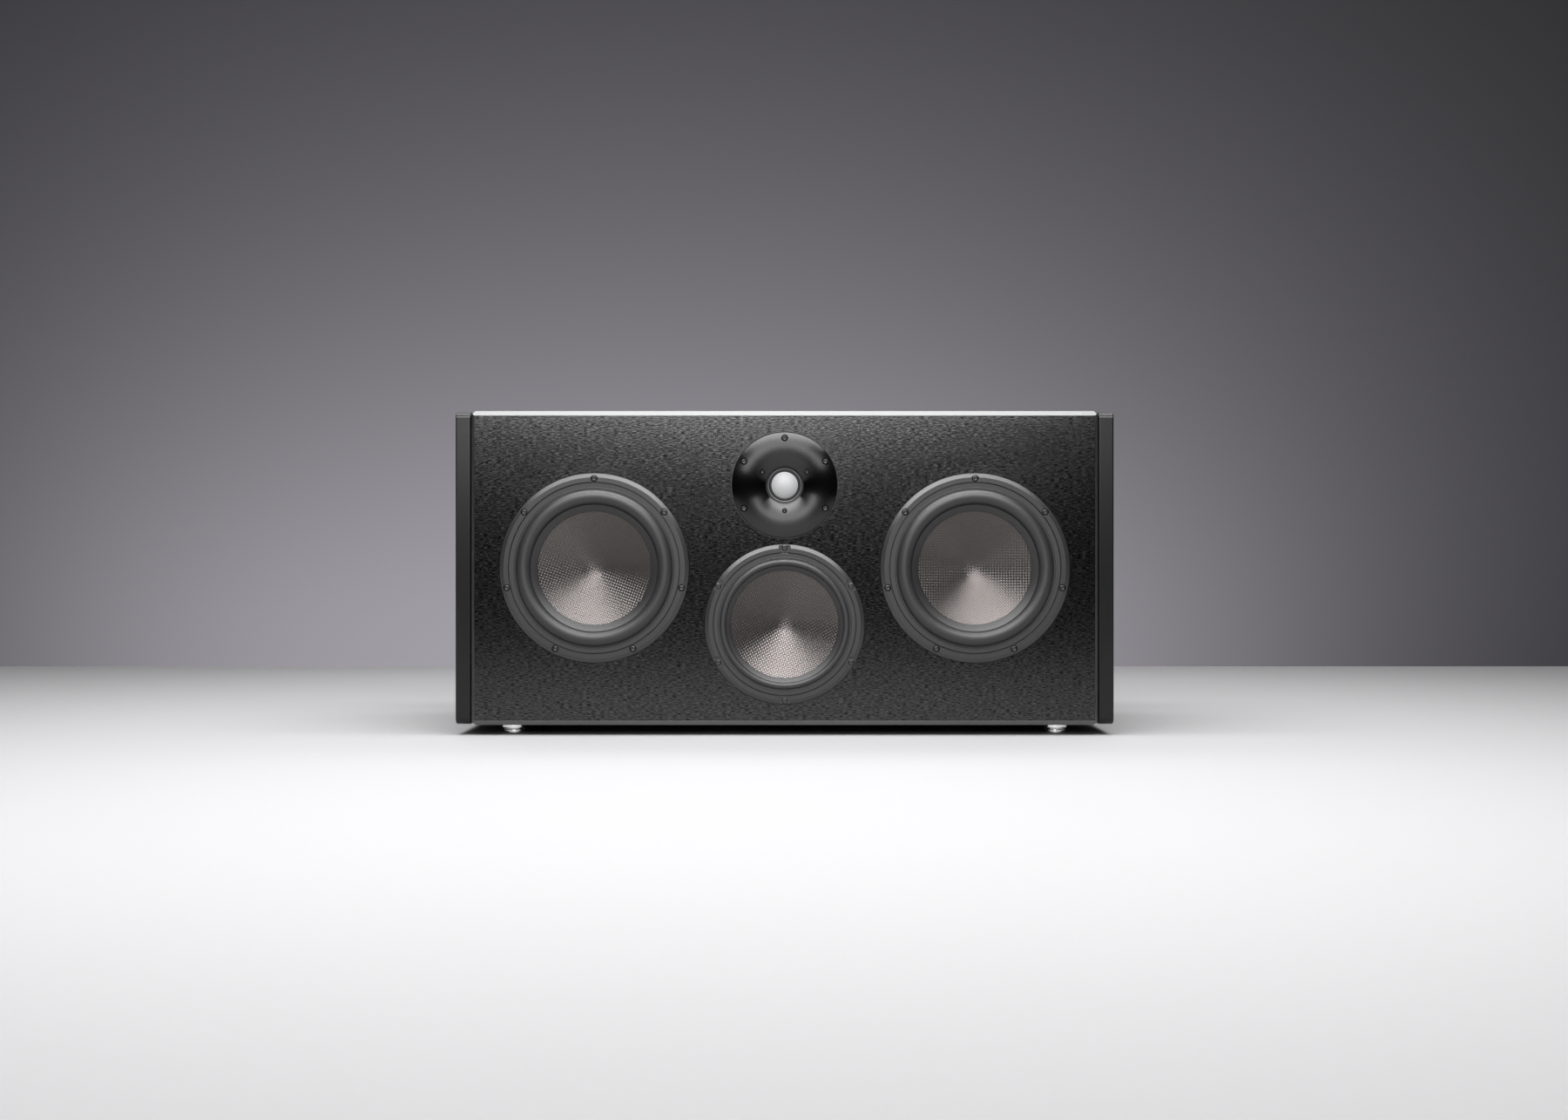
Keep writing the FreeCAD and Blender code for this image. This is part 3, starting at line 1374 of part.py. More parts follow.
# Inside wiring
def bent_run(start, corner, end):
    """Two straight legs along the sketch's axes, with a round bend at the corner between them."""
    bend = cell("lead_bend_radius")

    def unit(here, there):
        steps = [as_size(there[k] - here[k]).value for k in (0, 1)]
        return [round(math.copysign(1, step)) if abs(step) > SAME_PLACE else 0 for step in steps]

    back = unit(corner, start)
    onward = unit(corner, end)
    entry = tuple(corner[k] + bend * back[k] if back[k] else corner[k] for k in (0, 1))
    leave = tuple(corner[k] + bend * onward[k] if onward[k] else corner[k] for k in (0, 1))
    turn = back[0] * onward[1] - back[1] * onward[0]
    rise = turn * bend * (1 - cosine(45))
    return [start, entry, (*leave, rise), end]


def add_lead(body, name, plane, level, run, end_plane, end_place):
    """One lead: a round section carried along a bent run that lies in a plane at a level."""
    path = new_sketch(body, f"{name}Path", plane, shift=(0, 0, level))
    draw_outline(path, bent_run(*run), closed=False)
    section = new_sketch(body, f"{name}Section", end_plane, shift=end_place)
    draw_circle(section, 0, 0, cell("lead_radius"))
    pipe = body.newObject("PartDesign::AdditivePipe", name)
    pipe.Profile = section
    pipe.Spine = (path, ["Edge1", "Edge2", "Edge3"])


def lead_ring(lay):
    """The radius at which a lead passes beside a driver's magnet."""
    return lay.size("magnet_radius") + cell("running_gap") + cell("lead_radius")


def lead_end(lay):
    """How far behind the baffle a lead ends at a driver's basket."""
    return lay.size("basket_depth") - cell("baffle_thickness") + cell("running_gap")


def make_wiring():
    """The leads from the posts to the crossover and on to each driver, two of them through the dividers."""
    body = new_body("internal_wiring", at=(0, inner_front, inner_bottom))
    body.AllowCompound = True
    gap = cell("running_gap")
    inset = cell("lead_edge_inset")
    foot = cell("board_standoff_height") + cell("board_thickness") + gap
    board_back = inner_depth - cell("board_rear_gap")
    board_front = board_back - cell("board_length")
    tail_y = inner_depth + cell("rear_thickness") - cell("post_tail") - gap
    post_z = inner_height / 2 - cell("post_drop")
    post_foot_y = board_back - inset
    for side, name in ((-1, "BlackPost"), (1, "RedPost")):
        x = side * cell("post_spacing") / 2
        run = ((tail_y, post_z), (post_foot_y, post_z), (post_foot_y, foot))
        add_lead(body, name, "YZ_Plane", x, run, "XZ_Plane", (x, post_z, -tail_y))
    mid_y = board_front + inset
    mid_z = inner_height / 2 - cell("midrange_drop") - lead_ring(MIDRANGE)
    run = ((mid_y, foot), (mid_y, mid_z), (lead_end(MIDRANGE), mid_z))
    add_lead(body, "Midrange", "YZ_Plane", 0, run, "XY_Plane", (0, mid_y, foot))
    treble_x = cell("tweeter_lead_offset")
    treble_y = board_front + cell("tweeter_lead_inset")
    treble_z = inner_height / 2 + cell("tweeter_rise")
    run = ((treble_y, foot), (treble_y, treble_z), (tweeter_depth - cell("baffle_thickness") + gap, treble_z))
    add_lead(body, "Tweeter", "YZ_Plane", treble_x, run, "XY_Plane", (treble_x, treble_y, foot))
    for side, name in ((-1, "LeftWoofer"), (1, "RightWoofer")):
        board_x = side * (cell("board_width") / 2 - inset)
        hole_x = side * divider_offset
        driver_x = side * (woofer_offset - lead_ring(WOOFER))
        rise = ((board_x, foot), (board_x, cable_hole_z), (hole_x, cable_hole_z))
        place = (board_x, cable_hole_y, foot)
        add_lead(body, f"{name}Rise", "XZ_Plane", -cable_hole_y, rise, "XY_Plane", place)
        reach = ((hole_x, cable_hole_y), (driver_x, cable_hole_y), (driver_x, lead_end(WOOFER)))
        place = (cable_hole_y, cable_hole_z, hole_x)
        add_lead(body, f"{name}Reach", "XY_Plane", cable_hole_z, reach, "YZ_Plane", place)


make_wiring()
doc.recompute()

# Checks of every object, and the files
failed = [thing.Name for thing in doc.Objects if {"Invalid", "Error"} & set(thing.State)]
if failed:
    raise RuntimeError(f"these did not build: {failed}")
bodies = [thing for thing in doc.Objects if thing.TypeId == "PartDesign::Body"]
for body in bodies:
    if body.Shape.isNull() or not body.Shape.isValid() or not body.Shape.Solids:
        raise RuntimeError(f"{body.Label} has no valid shape")
os.makedirs("parts", exist_ok=True)
for body in bodies:
    body.Shape.exportStep(f"parts/{body.Label}.step")
    print(body.Label, len(body.Shape.Solids), round(body.Shape.Volume, 1))
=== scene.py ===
# Center channel speaker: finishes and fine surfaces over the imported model.
# Points of the model are in metres, sizes of pieces in millimetres and named angles in degrees.

import math
from collections import namedtuple

import bpy
import numpy as np
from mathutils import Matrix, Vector


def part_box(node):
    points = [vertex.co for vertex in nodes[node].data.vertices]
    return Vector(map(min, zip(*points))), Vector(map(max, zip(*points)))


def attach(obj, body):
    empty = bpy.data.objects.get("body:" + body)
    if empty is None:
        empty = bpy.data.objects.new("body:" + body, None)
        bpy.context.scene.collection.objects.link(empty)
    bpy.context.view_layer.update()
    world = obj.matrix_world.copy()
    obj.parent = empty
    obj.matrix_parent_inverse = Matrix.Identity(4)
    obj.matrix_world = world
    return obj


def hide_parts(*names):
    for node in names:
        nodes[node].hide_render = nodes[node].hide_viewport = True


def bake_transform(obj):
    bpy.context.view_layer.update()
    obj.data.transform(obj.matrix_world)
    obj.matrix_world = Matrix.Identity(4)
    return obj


MM = 0.001
TURN = 2 * math.pi

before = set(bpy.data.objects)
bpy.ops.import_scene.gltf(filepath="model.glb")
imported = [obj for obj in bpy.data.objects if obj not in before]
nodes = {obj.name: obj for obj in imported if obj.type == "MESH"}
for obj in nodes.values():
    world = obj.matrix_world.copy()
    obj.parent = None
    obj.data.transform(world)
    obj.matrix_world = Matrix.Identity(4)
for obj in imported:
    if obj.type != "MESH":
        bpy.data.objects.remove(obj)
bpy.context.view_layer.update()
front_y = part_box("front_baffle")[0].y

# Shapes
# An ease takes at most this share of an edge, and its supports stand this many eases from the corner
EASE_SHARE = 0.3
SUPPORT_REACH = 1.6
# Points round a turned piece
COLUMNS = 160
FINE_COLUMNS = 240


def box_middle(node):
    """The middle of a node's box."""
    low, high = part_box(node)
    return np.array((low + high) / 2)


def driver_axis(node):
    """The point where a driver's axis meets the baffle's face, from a node on that axis."""
    middle = box_middle(node)
    return np.array([middle[0], front_y, middle[2]])


def stand_front(local, centre):
    """Points (right, up, out of the baffle) about a centre on its face, as points of the model."""
    right, up, out = np.moveaxis(local, -1, 0)
    return np.stack([centre[0] + right, centre[1] - out, centre[2] + up], axis=-1)


def stand_up(local, centre):
    """Points (right, rear, up) about a centre, as points of the model."""
    return local + centre


def stand_rear(local, centre):
    """Points (right, down, out of the rear panel) about a centre, as points of the model."""
    right, down, out = np.moveaxis(local, -1, 0)
    return np.stack([centre[0] + right, centre[1] + out, centre[2] - down], axis=-1)


def grid_quads(rows, columns, close_rows=False, close_columns=False):
    """Quads between neighbouring rows and columns of a grid of points, joined round where it closes."""
    row = np.arange(rows if close_rows else rows - 1)[:, None]
    column = np.arange(columns if close_columns else columns - 1)[None, :]
    next_row = (row + 1) % rows
    next_column = (column + 1) % columns
    corners = [
        row * columns + column,
        next_row * columns + column,
        next_row * columns + next_column,
        row * columns + next_column,
    ]
    shape = (row.size, column.size)
    return np.stack([np.broadcast_to(corner, shape) for corner in corners], axis=-1).reshape(-1, 4)


def repeated(quads, points, count):
    """The quads of one shape repeated for a count of like shapes with so many points each."""
    return (quads[None] + points * np.arange(count)[:, None, None]).reshape(-1, 4)


def make_piece(name, points, faces, finish, body, sharp):
    """A mesh piece with its finish, riding on a body if given, its edges past a sharp angle left crisp."""
    mesh = bpy.data.meshes.new(name)
    mesh.from_pydata(np.asarray(points).reshape(-1, 3).tolist(), [], [list(face) for face in faces])
    mesh.polygons.foreach_set("use_smooth", np.ones(len(mesh.polygons), bool))
    mesh.set_sharp_from_angle(angle=math.radians(sharp))
    mesh.materials.append(finish)
    piece = bpy.data.objects.new(name, mesh)
    bpy.context.scene.collection.objects.link(piece)
    if body:
        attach(piece, body)
    return piece


def lay_uv(piece, name, places):
    """Gives a piece a UV map from one place per vertex."""
    corners = np.zeros(len(piece.data.loops), np.int32)
    piece.data.loops.foreach_get("vertex_index", corners)
    layer = piece.data.uv_layers.new(name=name)
    layer.data.foreach_set("uv", places[corners].astype(np.float32).reshape(-1))


def arc_run(start, end, rise, steps):
    """Points from start to end on an arc that stands off its chord by rise, to the left if positive.

    The arc's half turn is twice the angle whose tangent is the rise over half the chord.
    """
    start = np.array(start, float)
    end = np.array(end, float)
    chord = end - start
    length = np.hypot(*chord)
    left = np.array([-chord[1], chord[0]]) / length
    half_turn = 2 * math.atan2(2 * abs(rise), length)
    radius = length / (2 * math.sin(half_turn))
    toward = left if rise > 0 else -left
    centre = (start + end) / 2 + toward * (abs(rise) - radius)
    angle = np.linspace(-half_turn, half_turn, steps + 1)[:, None]
    return centre + radius * (toward * np.cos(angle) + chord / length * np.sin(angle))


def eased(corners, ease, steps):
    """A closed outline with each corner drawn as a small parabola, with a support point on either side.

    The parabola is the sum of its first end, the corner and its last end, weighted by the square of the
    way left, twice the way left times the way gone, and the square of the way gone.
    """
    corner = np.array(corners, float)
    ease = np.broadcast_to(np.asarray(ease, float), len(corner))[:, None]
    before = np.roll(corner, 1, axis=0) - corner
    after = np.roll(corner, -1, axis=0) - corner
    before_length = np.linalg.norm(before, axis=1, keepdims=True)
    after_length = np.linalg.norm(after, axis=1, keepdims=True)
    first = corner + before * np.minimum(ease / before_length, EASE_SHARE)
    last = corner + after * np.minimum(ease / after_length, EASE_SHARE)
    gone = np.linspace(0, 1, steps + 1)[None, :, None]
    left = 1 - gone
    bend = left**2 * first[:, None] + 2 * gone * left * corner[:, None] + gone**2 * last[:, None]
    lead = corner + (first - corner) * SUPPORT_REACH
    trail = corner + (last - corner) * SUPPORT_REACH
    return np.concatenate([lead[:, None], bend, trail[:, None]], axis=1).reshape(-1, 2)


def anticlockwise(outline):
    """The outline in the order that keeps its inside on the left."""
    across, up = np.asarray(outline).T
    area = np.sum(across * np.roll(up, -1) - np.roll(across, -1) * up)
    return outline if area > 0 else outline[::-1]


def even_angles(columns):
    """Angles spaced evenly round a full turn."""
    return np.arange(columns) * TURN / columns


def carried_round(radius, height, angle):
    """A (radius, height) run carried round an axis: radius times cosine and sine, and height along it."""
    across = radius * np.cos(angle)[:, None]
    up = radius * np.sin(angle)[:, None]
    return np.stack([across, up, np.broadcast_to(height, across.shape)], axis=-1)


def turned_piece(name, outline, columns, centre, stand, finish, body, sharp):
    """A closed (radius, height) outline carried round an axis."""
    radius, height = anticlockwise(np.asarray(outline, float) * MM).T
    local = carried_round(radius, height, even_angles(columns))
    quads = grid_quads(columns, radius.size, True, True)
    return make_piece(name, stand(local, centre), quads, finish, body, sharp)


# Finishes
# Grains are counts per metre along each axis
STREAK_GRAIN = (210.0, 1550.0, 1550.0)
FINE_GRAIN = (1500.0, 1500.0, 1500.0)
SKIN_GRAIN = (900.0, 900.0, 900.0)
METAL_GRAIN = (800.0, 800.0, 800.0)
MOTTLE_GRAIN = (600.0, 600.0, 600.0)
STREAK_RELIEF = 0.012 * MM
SKIN_RELIEF = 0.01 * MM
METAL_RELIEF = 0.004 * MM
# How squarely a bevel, at most, and a flat face, at least, look to the front
BEVEL_FACING = 0.85
FLAT_FACING = 0.95


def new_finish(name, **sockets):
    """A principled finish with constant values on the shader's own sockets."""
    finish = bpy.data.materials.new(name)
    finish.use_nodes = True
    tree = finish.node_tree
    shader = tree.nodes["Principled BSDF"]
    for socket, value in sockets.items():
        shader.inputs[socket.replace("_", " ")].default_value = value
    return finish, tree, shader


def grey(amount):
    """An opaque grey."""
    return (amount, amount, amount, 1.0)


def shades(colour, darker, lighter):
    """A darker and a lighter shade of a colour."""
    low = tuple(part * darker for part in colour) + (1.0,)
    high = tuple(min(part * lighter, 1.0) for part in colour) + (1.0,)
    return low, high


def object_noise(tree, grain, detail):
    """A noise pattern on object coordinates, with its own grain along each axis."""
    coordinates = tree.nodes.new("ShaderNodeTexCoord")
    mapping = tree.nodes.new("ShaderNodeMapping")
    mapping.inputs["Scale"].default_value = grain
    noise = tree.nodes.new("ShaderNodeTexNoise")
    noise.inputs["Scale"].default_value = 1.0
    noise.inputs["Detail"].default_value = detail
    tree.links.new(coordinates.outputs["Object"], mapping.inputs["Vector"])
    tree.links.new(mapping.outputs["Vector"], noise.inputs["Vector"])
    return noise


def ramp_to(tree, source, low, high, sink, low_at=0.3, high_at=0.7):
    """Carries a pattern to a socket through two grey or coloured stops."""
    ramp = tree.nodes.new("ShaderNodeValToRGB")
    ramp.color_ramp.elements[0].position = low_at
    ramp.color_ramp.elements[1].position = high_at
    ramp.color_ramp.elements[0].color = low
    ramp.color_ramp.elements[1].color = high
    tree.links.new(source, ramp.inputs["Fac"])
    tree.links.new(ramp.outputs["Color"], sink)


def mix_to(tree, kind, factor, first, sink):
    """Carries one value to a socket, or a second where the factor is one, and gives the second's input."""
    mix = tree.nodes.new("ShaderNodeMix")
    mix.data_type = kind
    mix.inputs["A"].default_value = first
    tree.links.new(factor, mix.inputs["Factor"])
    tree.links.new(mix.outputs["Result"], sink)
    return mix.inputs["B"]


def add_bump(tree, shader, source, distance):
    """Relief from a pattern, as high as a distance in metres."""
    bump = tree.nodes.new("ShaderNodeBump")
    bump.inputs["Distance"].default_value = distance
    bump.inputs["Strength"].default_value = 1.0
    tree.links.new(source, bump.inputs["Height"])
    tree.links.new(bump.outputs["Normal"], shader.inputs["Normal"])


def add_grain(tree, shader, grain, low, high, relief, detail):
    """A mottle between two shades, standing in relief."""
    mottle = object_noise(tree, grain, detail)
    ramp_to(tree, mottle.outputs["Fac"], low, high, shader.inputs["Base Color"])
    add_bump(tree, shader, mottle.outputs["Fac"], relief)


def shine_by_uv(tree, shader, uv_map):
    """Turns the shader's stretched highlight to a UV map's own direction."""
    tangent = tree.nodes.new("ShaderNodeTangent")
    tangent.direction_type = "UV_MAP"
    tangent.uv_map = uv_map
    tree.links.new(tangent.outputs["Tangent"], shader.inputs["Tangent"])


def facing_front(tree):
    """One on surfaces that face the front or the rear, falling to nothing on bevels and ends."""
    surface = tree.nodes.new("ShaderNodeNewGeometry")
    parts = tree.nodes.new("ShaderNodeSeparateXYZ")
    size = tree.nodes.new("ShaderNodeMath")
    size.operation = "ABSOLUTE"
    tree.links.new(surface.outputs["True Normal"], parts.inputs["Vector"])
    tree.links.new(parts.outputs["Y"], size.inputs[0])
    flat = tree.nodes.new("ShaderNodeMapRange")
    flat.inputs["From Min"].default_value = BEVEL_FACING
    flat.inputs["From Max"].default_value = FLAT_FACING
    tree.links.new(size.outputs["Value"], flat.inputs["Value"])
    return flat.outputs["Result"]


def brushed_black():
    """Black anodised metal brushed along X in short streaks, with brighter, rougher cut bevels."""
    bevel_shade = grey(0.22)
    bevel_roughness = 0.5
    dark_streak = grey(0.010)
    light_streak = grey(0.112)
    smooth_streak = grey(0.10)
    rough_streak = grey(0.18)
    finish, tree, shader = new_finish(
        "brushed_black_metal", Metallic=1.0, Anisotropic=0.5, Anisotropic_Rotation=0.25
    )
    around = tree.nodes.new("ShaderNodeTangent")
    around.direction_type = "RADIAL"
    around.axis = "Z"
    tree.links.new(around.outputs["Tangent"], shader.inputs["Tangent"])
    streaks = object_noise(tree, STREAK_GRAIN, detail=3.0)
    streaks.inputs["Roughness"].default_value = 0.62
    pattern = streaks.outputs["Fac"]
    flat = facing_front(tree)
    colour = mix_to(tree, "RGBA", flat, bevel_shade, shader.inputs["Base Color"])
    ramp_to(tree, pattern, dark_streak, light_streak, colour, low_at=0.38, high_at=0.65)
    roughness = mix_to(tree, "FLOAT", flat, bevel_roughness, shader.inputs["Roughness"])
    ramp_to(tree, pattern, smooth_streak, rough_streak, roughness)
    add_bump(tree, shader, pattern, STREAK_RELIEF)
    return finish


def turned_black():
    """Black metal turned on a lathe: its fine rings spread a highlight outwards from the axis."""
    finish, tree, shader = new_finish(
        "turned_black_faceplate", Metallic=1.0, Roughness=0.19, Anisotropic=1.0
    )
    dark = grey(0.040)
    light = grey(0.056)
    grain = object_noise(tree, FINE_GRAIN, detail=2.0)
    ramp_to(tree, grain.outputs["Fac"], dark, light, shader.inputs["Base Color"])
    shine_by_uv(tree, shader, "outward")
    return finish


def satin_paint(name, shade, roughness, shine):
    """Smooth black paint with a fine grain and a soft shine."""
    finish, tree, shader = new_finish(name, Roughness=roughness, Specular_IOR_Level=shine)
    low, high = shades((shade, shade, shade), darker=0.85, lighter=1.15)
    add_grain(tree, shader, FINE_GRAIN, low, high, SKIN_RELIEF, detail=2.0)
    return finish


def black_rubber():
    """Soft black rubber with a faint sheen and a fine skin."""
    finish, tree, shader = new_finish("surround_rubber", Roughness=0.44, Specular_IOR_Level=0.65)
    low = (0.012, 0.0116, 0.0126, 1.0)
    high = (0.019, 0.0183, 0.02, 1.0)
    add_grain(tree, shader, SKIN_GRAIN, low, high, SKIN_RELIEF, detail=3.0)
    return finish


def woven_fibre():
    """Flat coated fibre bundles that shine across their length, with fine lines along each bundle."""
    finish, tree, shader = new_finish("woven_fibre", Metallic=1.0, Roughness=0.30, Anisotropic=1.0)
    low = (0.11, 0.099, 0.095, 1.0)
    high = (0.19, 0.171, 0.165, 1.0)
    lines_across = 9.0
    along = tree.nodes.new("ShaderNodeUVMap")
    along.uv_map = "bundle"
    mapping = tree.nodes.new("ShaderNodeMapping")
    mapping.inputs["Scale"].default_value = (lines_across, 1.0, 1.0)
    lines = tree.nodes.new("ShaderNodeTexNoise")
    lines.inputs["Scale"].default_value = 2.0
    tree.links.new(along.outputs["UV"], mapping.inputs["Vector"])
    tree.links.new(mapping.outputs["Vector"], lines.inputs["Vector"])
    ramp_to(tree, lines.outputs["Fac"], low, high, shader.inputs["Base Color"])
    shine_by_uv(tree, shader, "bundle")
    return finish


def plain_metal(name, colour, roughness):
    """A bare metal with a faint turned or drawn grain."""
    finish, tree, shader = new_finish(name, Metallic=1.0, Roughness=roughness)
    low, high = shades(colour, darker=0.92, lighter=1.06)
    add_grain(tree, shader, METAL_GRAIN, low, high, METAL_RELIEF, detail=2.0)
    return finish


def satin_dome():
    """Satin anodised dome metal, part mirror and part matt."""
    finish, tree, shader = new_finish("dome_metal", Metallic=0.35, Roughness=0.65)
    low = (0.41, 0.41, 0.418, 1.0)
    high = (0.46, 0.46, 0.468, 1.0)
    add_grain(tree, shader, SKIN_GRAIN, low, high, METAL_RELIEF, detail=2.0)
    return finish


def plain_solid(name, colour, roughness, grain=MOTTLE_GRAIN):
    """A plastic, cloth or ceramic with a faint mottle."""
    finish, tree, shader = new_finish(name, Roughness=roughness)
    low, high = shades(colour, darker=0.85, lighter=1.15)
    add_grain(tree, shader, grain, low, high, SKIN_RELIEF, detail=3.0)
    return finish


FINISH = {
    "baffle": brushed_black(),
    "panel": satin_paint("satin_black_panel", shade=0.006, roughness=0.26, shine=0.34),
    "frame": satin_paint("cast_black_frame", shade=0.022, roughness=0.30, shine=0.65),
    "faceplate": turned_black(),
    "rubber": black_rubber(),
    "fibre": woven_fibre(),
    "cone_back": plain_solid("cone_backing", (0.012, 0.012, 0.012), roughness=0.6),
    "dome": satin_dome(),
    "dome_surround": plain_solid("dome_surround_cloth", (0.006, 0.006, 0.0065), roughness=0.55),
    "steel": plain_metal("plated_steel", (0.55, 0.55, 0.56), roughness=0.35),
    "ring": plain_metal("satin_ring", (0.30, 0.30, 0.305), roughness=0.38),
    "bare": plain_metal("bare_aluminium", (0.60, 0.60, 0.61), roughness=0.40),
    "polished": plain_metal("polished_foot", (0.92, 0.91, 0.90), roughness=0.12),
    "screw": plain_metal("black_screw", (0.07, 0.07, 0.072), roughness=0.34),
    "brass": plain_metal("gilt_brass", (0.83, 0.62, 0.28), roughness=0.20),
    "copper": plain_metal("enamelled_copper", (0.72, 0.38, 0.18), roughness=0.30),
    "ferrite": plain_solid("ferrite", (0.05, 0.05, 0.05), roughness=0.7),
    "spider": plain_solid("spider_cloth", (0.55, 0.36, 0.12), roughness=0.9, grain=FINE_GRAIN),
    "red": plain_solid("red_grip_plastic", (0.42, 0.012, 0.012), roughness=0.25),
    "black": plain_solid("black_grip_plastic", (0.012, 0.012, 0.012), roughness=0.25),
    "insulator": plain_solid("insulator_plastic", (0.015, 0.015, 0.015), roughness=0.5),
    "board": plain_solid("circuit_board", (0.03, 0.16, 0.07), roughness=0.45),
    "wire": plain_solid("wire_cover", (0.05, 0.05, 0.05), roughness=0.5),
}
NODE_FINISH = {
    "front_baffle": "baffle",
    "top_panel": "panel",
    "bottom_panel": "panel",
    "rear_panel": "panel",
    "left_divider": "bare",
    "right_divider": "bare",
    "tweeter_faceplate": "faceplate",
    "tweeter_rear_chamber": "frame",
    "rear_panel_screws": "screw",
    "post_insulators": "insulator",
    "post_nuts": "brass",
    "crossover": "board",
    "internal_wiring": "wire",
}
ENDING_FINISH = {
    "_basket": "frame",
    "_cone": "cone_back",
    "_voice_coil": "copper",
    "_spider": "spider",
    "_front_plate": "steel",
    "_yoke": "steel",
    "_magnet": "ferrite",
    "_post": "brass",
    "_cap_nut": "brass",
    "_side_panel": "panel",
    "_screws": "screw",
    "_foot": "polished",
    "_surround": "rubber",
    "_dome": "dome",
    "red_cap": "red",
    "black_cap": "black",
}


def dress_nodes():
    """Gives each node its own finish, by its name or by how its name ends."""
    for name, node in nodes.items():
        key = NODE_FINISH.get(name)
        if key is None:
            key = next(kind for ending, kind in ENDING_FINISH.items() if name.endswith(ending))
        node.data.materials.clear()
        node.data.materials.append(FINISH[key])


# Cone drivers
Screws = namedtuple("Screws", "count pitch spot spot_drop")
Spider = namedtuple("Spider", "inner rim outer floor top fold")


class ConeDriver:
    """The radii and heights of one kind of cone driver, from its axis and the baffle's face."""

    # Heights that both kinds share
    edge = 0.3
    face = 2.2
    ledge = -0.8
    top = 1.6
    glue_gap = 0.3

    def __init__(
        self,
        flange,
        bevel,
        rim_inner,
        groove,
        ring,
        roll,
        glue,
        roll_height,
        skin,
        angle,
        bowl,
        screws,
        spider,
    ):
        self.flange = flange
        self.bevel = bevel
        self.rim_inner = rim_inner
        self.outer = rim_inner - groove
        self.roll_outer = self.outer - ring
        self.roll_inner = self.roll_outer - roll
        self.cloth = self.roll_inner - glue
        self.roll_height = roll_height
        self.skin = skin
        self.slope = math.tan(math.radians(angle))
        self.bowl = bowl
        self.bowl_edge = bowl * math.sin(math.radians(angle))
        self.screws = screws
        self.spider = spider

    def cone_front(self, radius):
        """Height of the cone's front: a straight wall, with a round bowl that meets it without a crease."""
        rim = self.top - self.skin - self.glue_gap
        wall = rim - (self.roll_inner - radius) * self.slope
        bowl_edge_height = rim - (self.roll_inner - self.bowl_edge) * self.slope
        inside = np.minimum(radius, self.bowl_edge)
        bowl_depth = math.sqrt(self.bowl**2 - self.bowl_edge**2) - np.sqrt(self.bowl**2 - inside**2)
        return np.where(radius > self.bowl_edge, wall, bowl_edge_height + bowl_depth)


WOOFER = ConeDriver(
    flange=100.2,
    bevel=4.2,
    rim_inner=91.2,
    groove=1.0,
    ring=6.8,
    roll=16.4,
    glue=7.0,
    roll_height=7.0,
    skin=1.2,
    angle=27.0,
    bowl=25.0,
    screws=Screws(count=7, pitch=94.8, spot=4.4, spot_drop=0.4),
    spider=Spider(inner=20.0, rim=52.7, outer=57.7, floor=-58.0, top=-53.0, fold=2.0),
)
MIDRANGE = ConeDriver(
    flange=84.5,
    bevel=4.0,
    rim_inner=76.1,
    groove=0.9,
    ring=6.2,
    roll=7.2,
    glue=4.9,
    roll_height=3.0,
    skin=1.0,
    angle=26.0,
    bowl=22.0,
    screws=Screws(count=6, pitch=81.0, spot=6.4, spot_drop=1.7),
    spider=Spider(inner=16.8, rim=44.7, outer=49.7, floor=-48.0, top=-44.0, fold=1.6),
)
# Each driver's kind, and the turn of its weave
DRIVERS = {
    "left_woofer": (WOOFER, 25.0),
    "right_woofer": (WOOFER, 45.0),
    "midrange": (MIDRANGE, 75.0),
}

# A bundle's length and width are shares of the weave's pitch
BUNDLE_PITCH = 1.98
BUNDLE_LENGTH = 1.0
BUNDLE_WIDTH = 0.7
BUNDLE_HEIGHT = 0.2
BUNDLE_DIP = 0.3
BUNDLE_CROWN = 0.9
CLOTH_CLEAR = 0.02
CLOTH_UNDER_RUBBER = 2.0
TILE_POINTS = 5


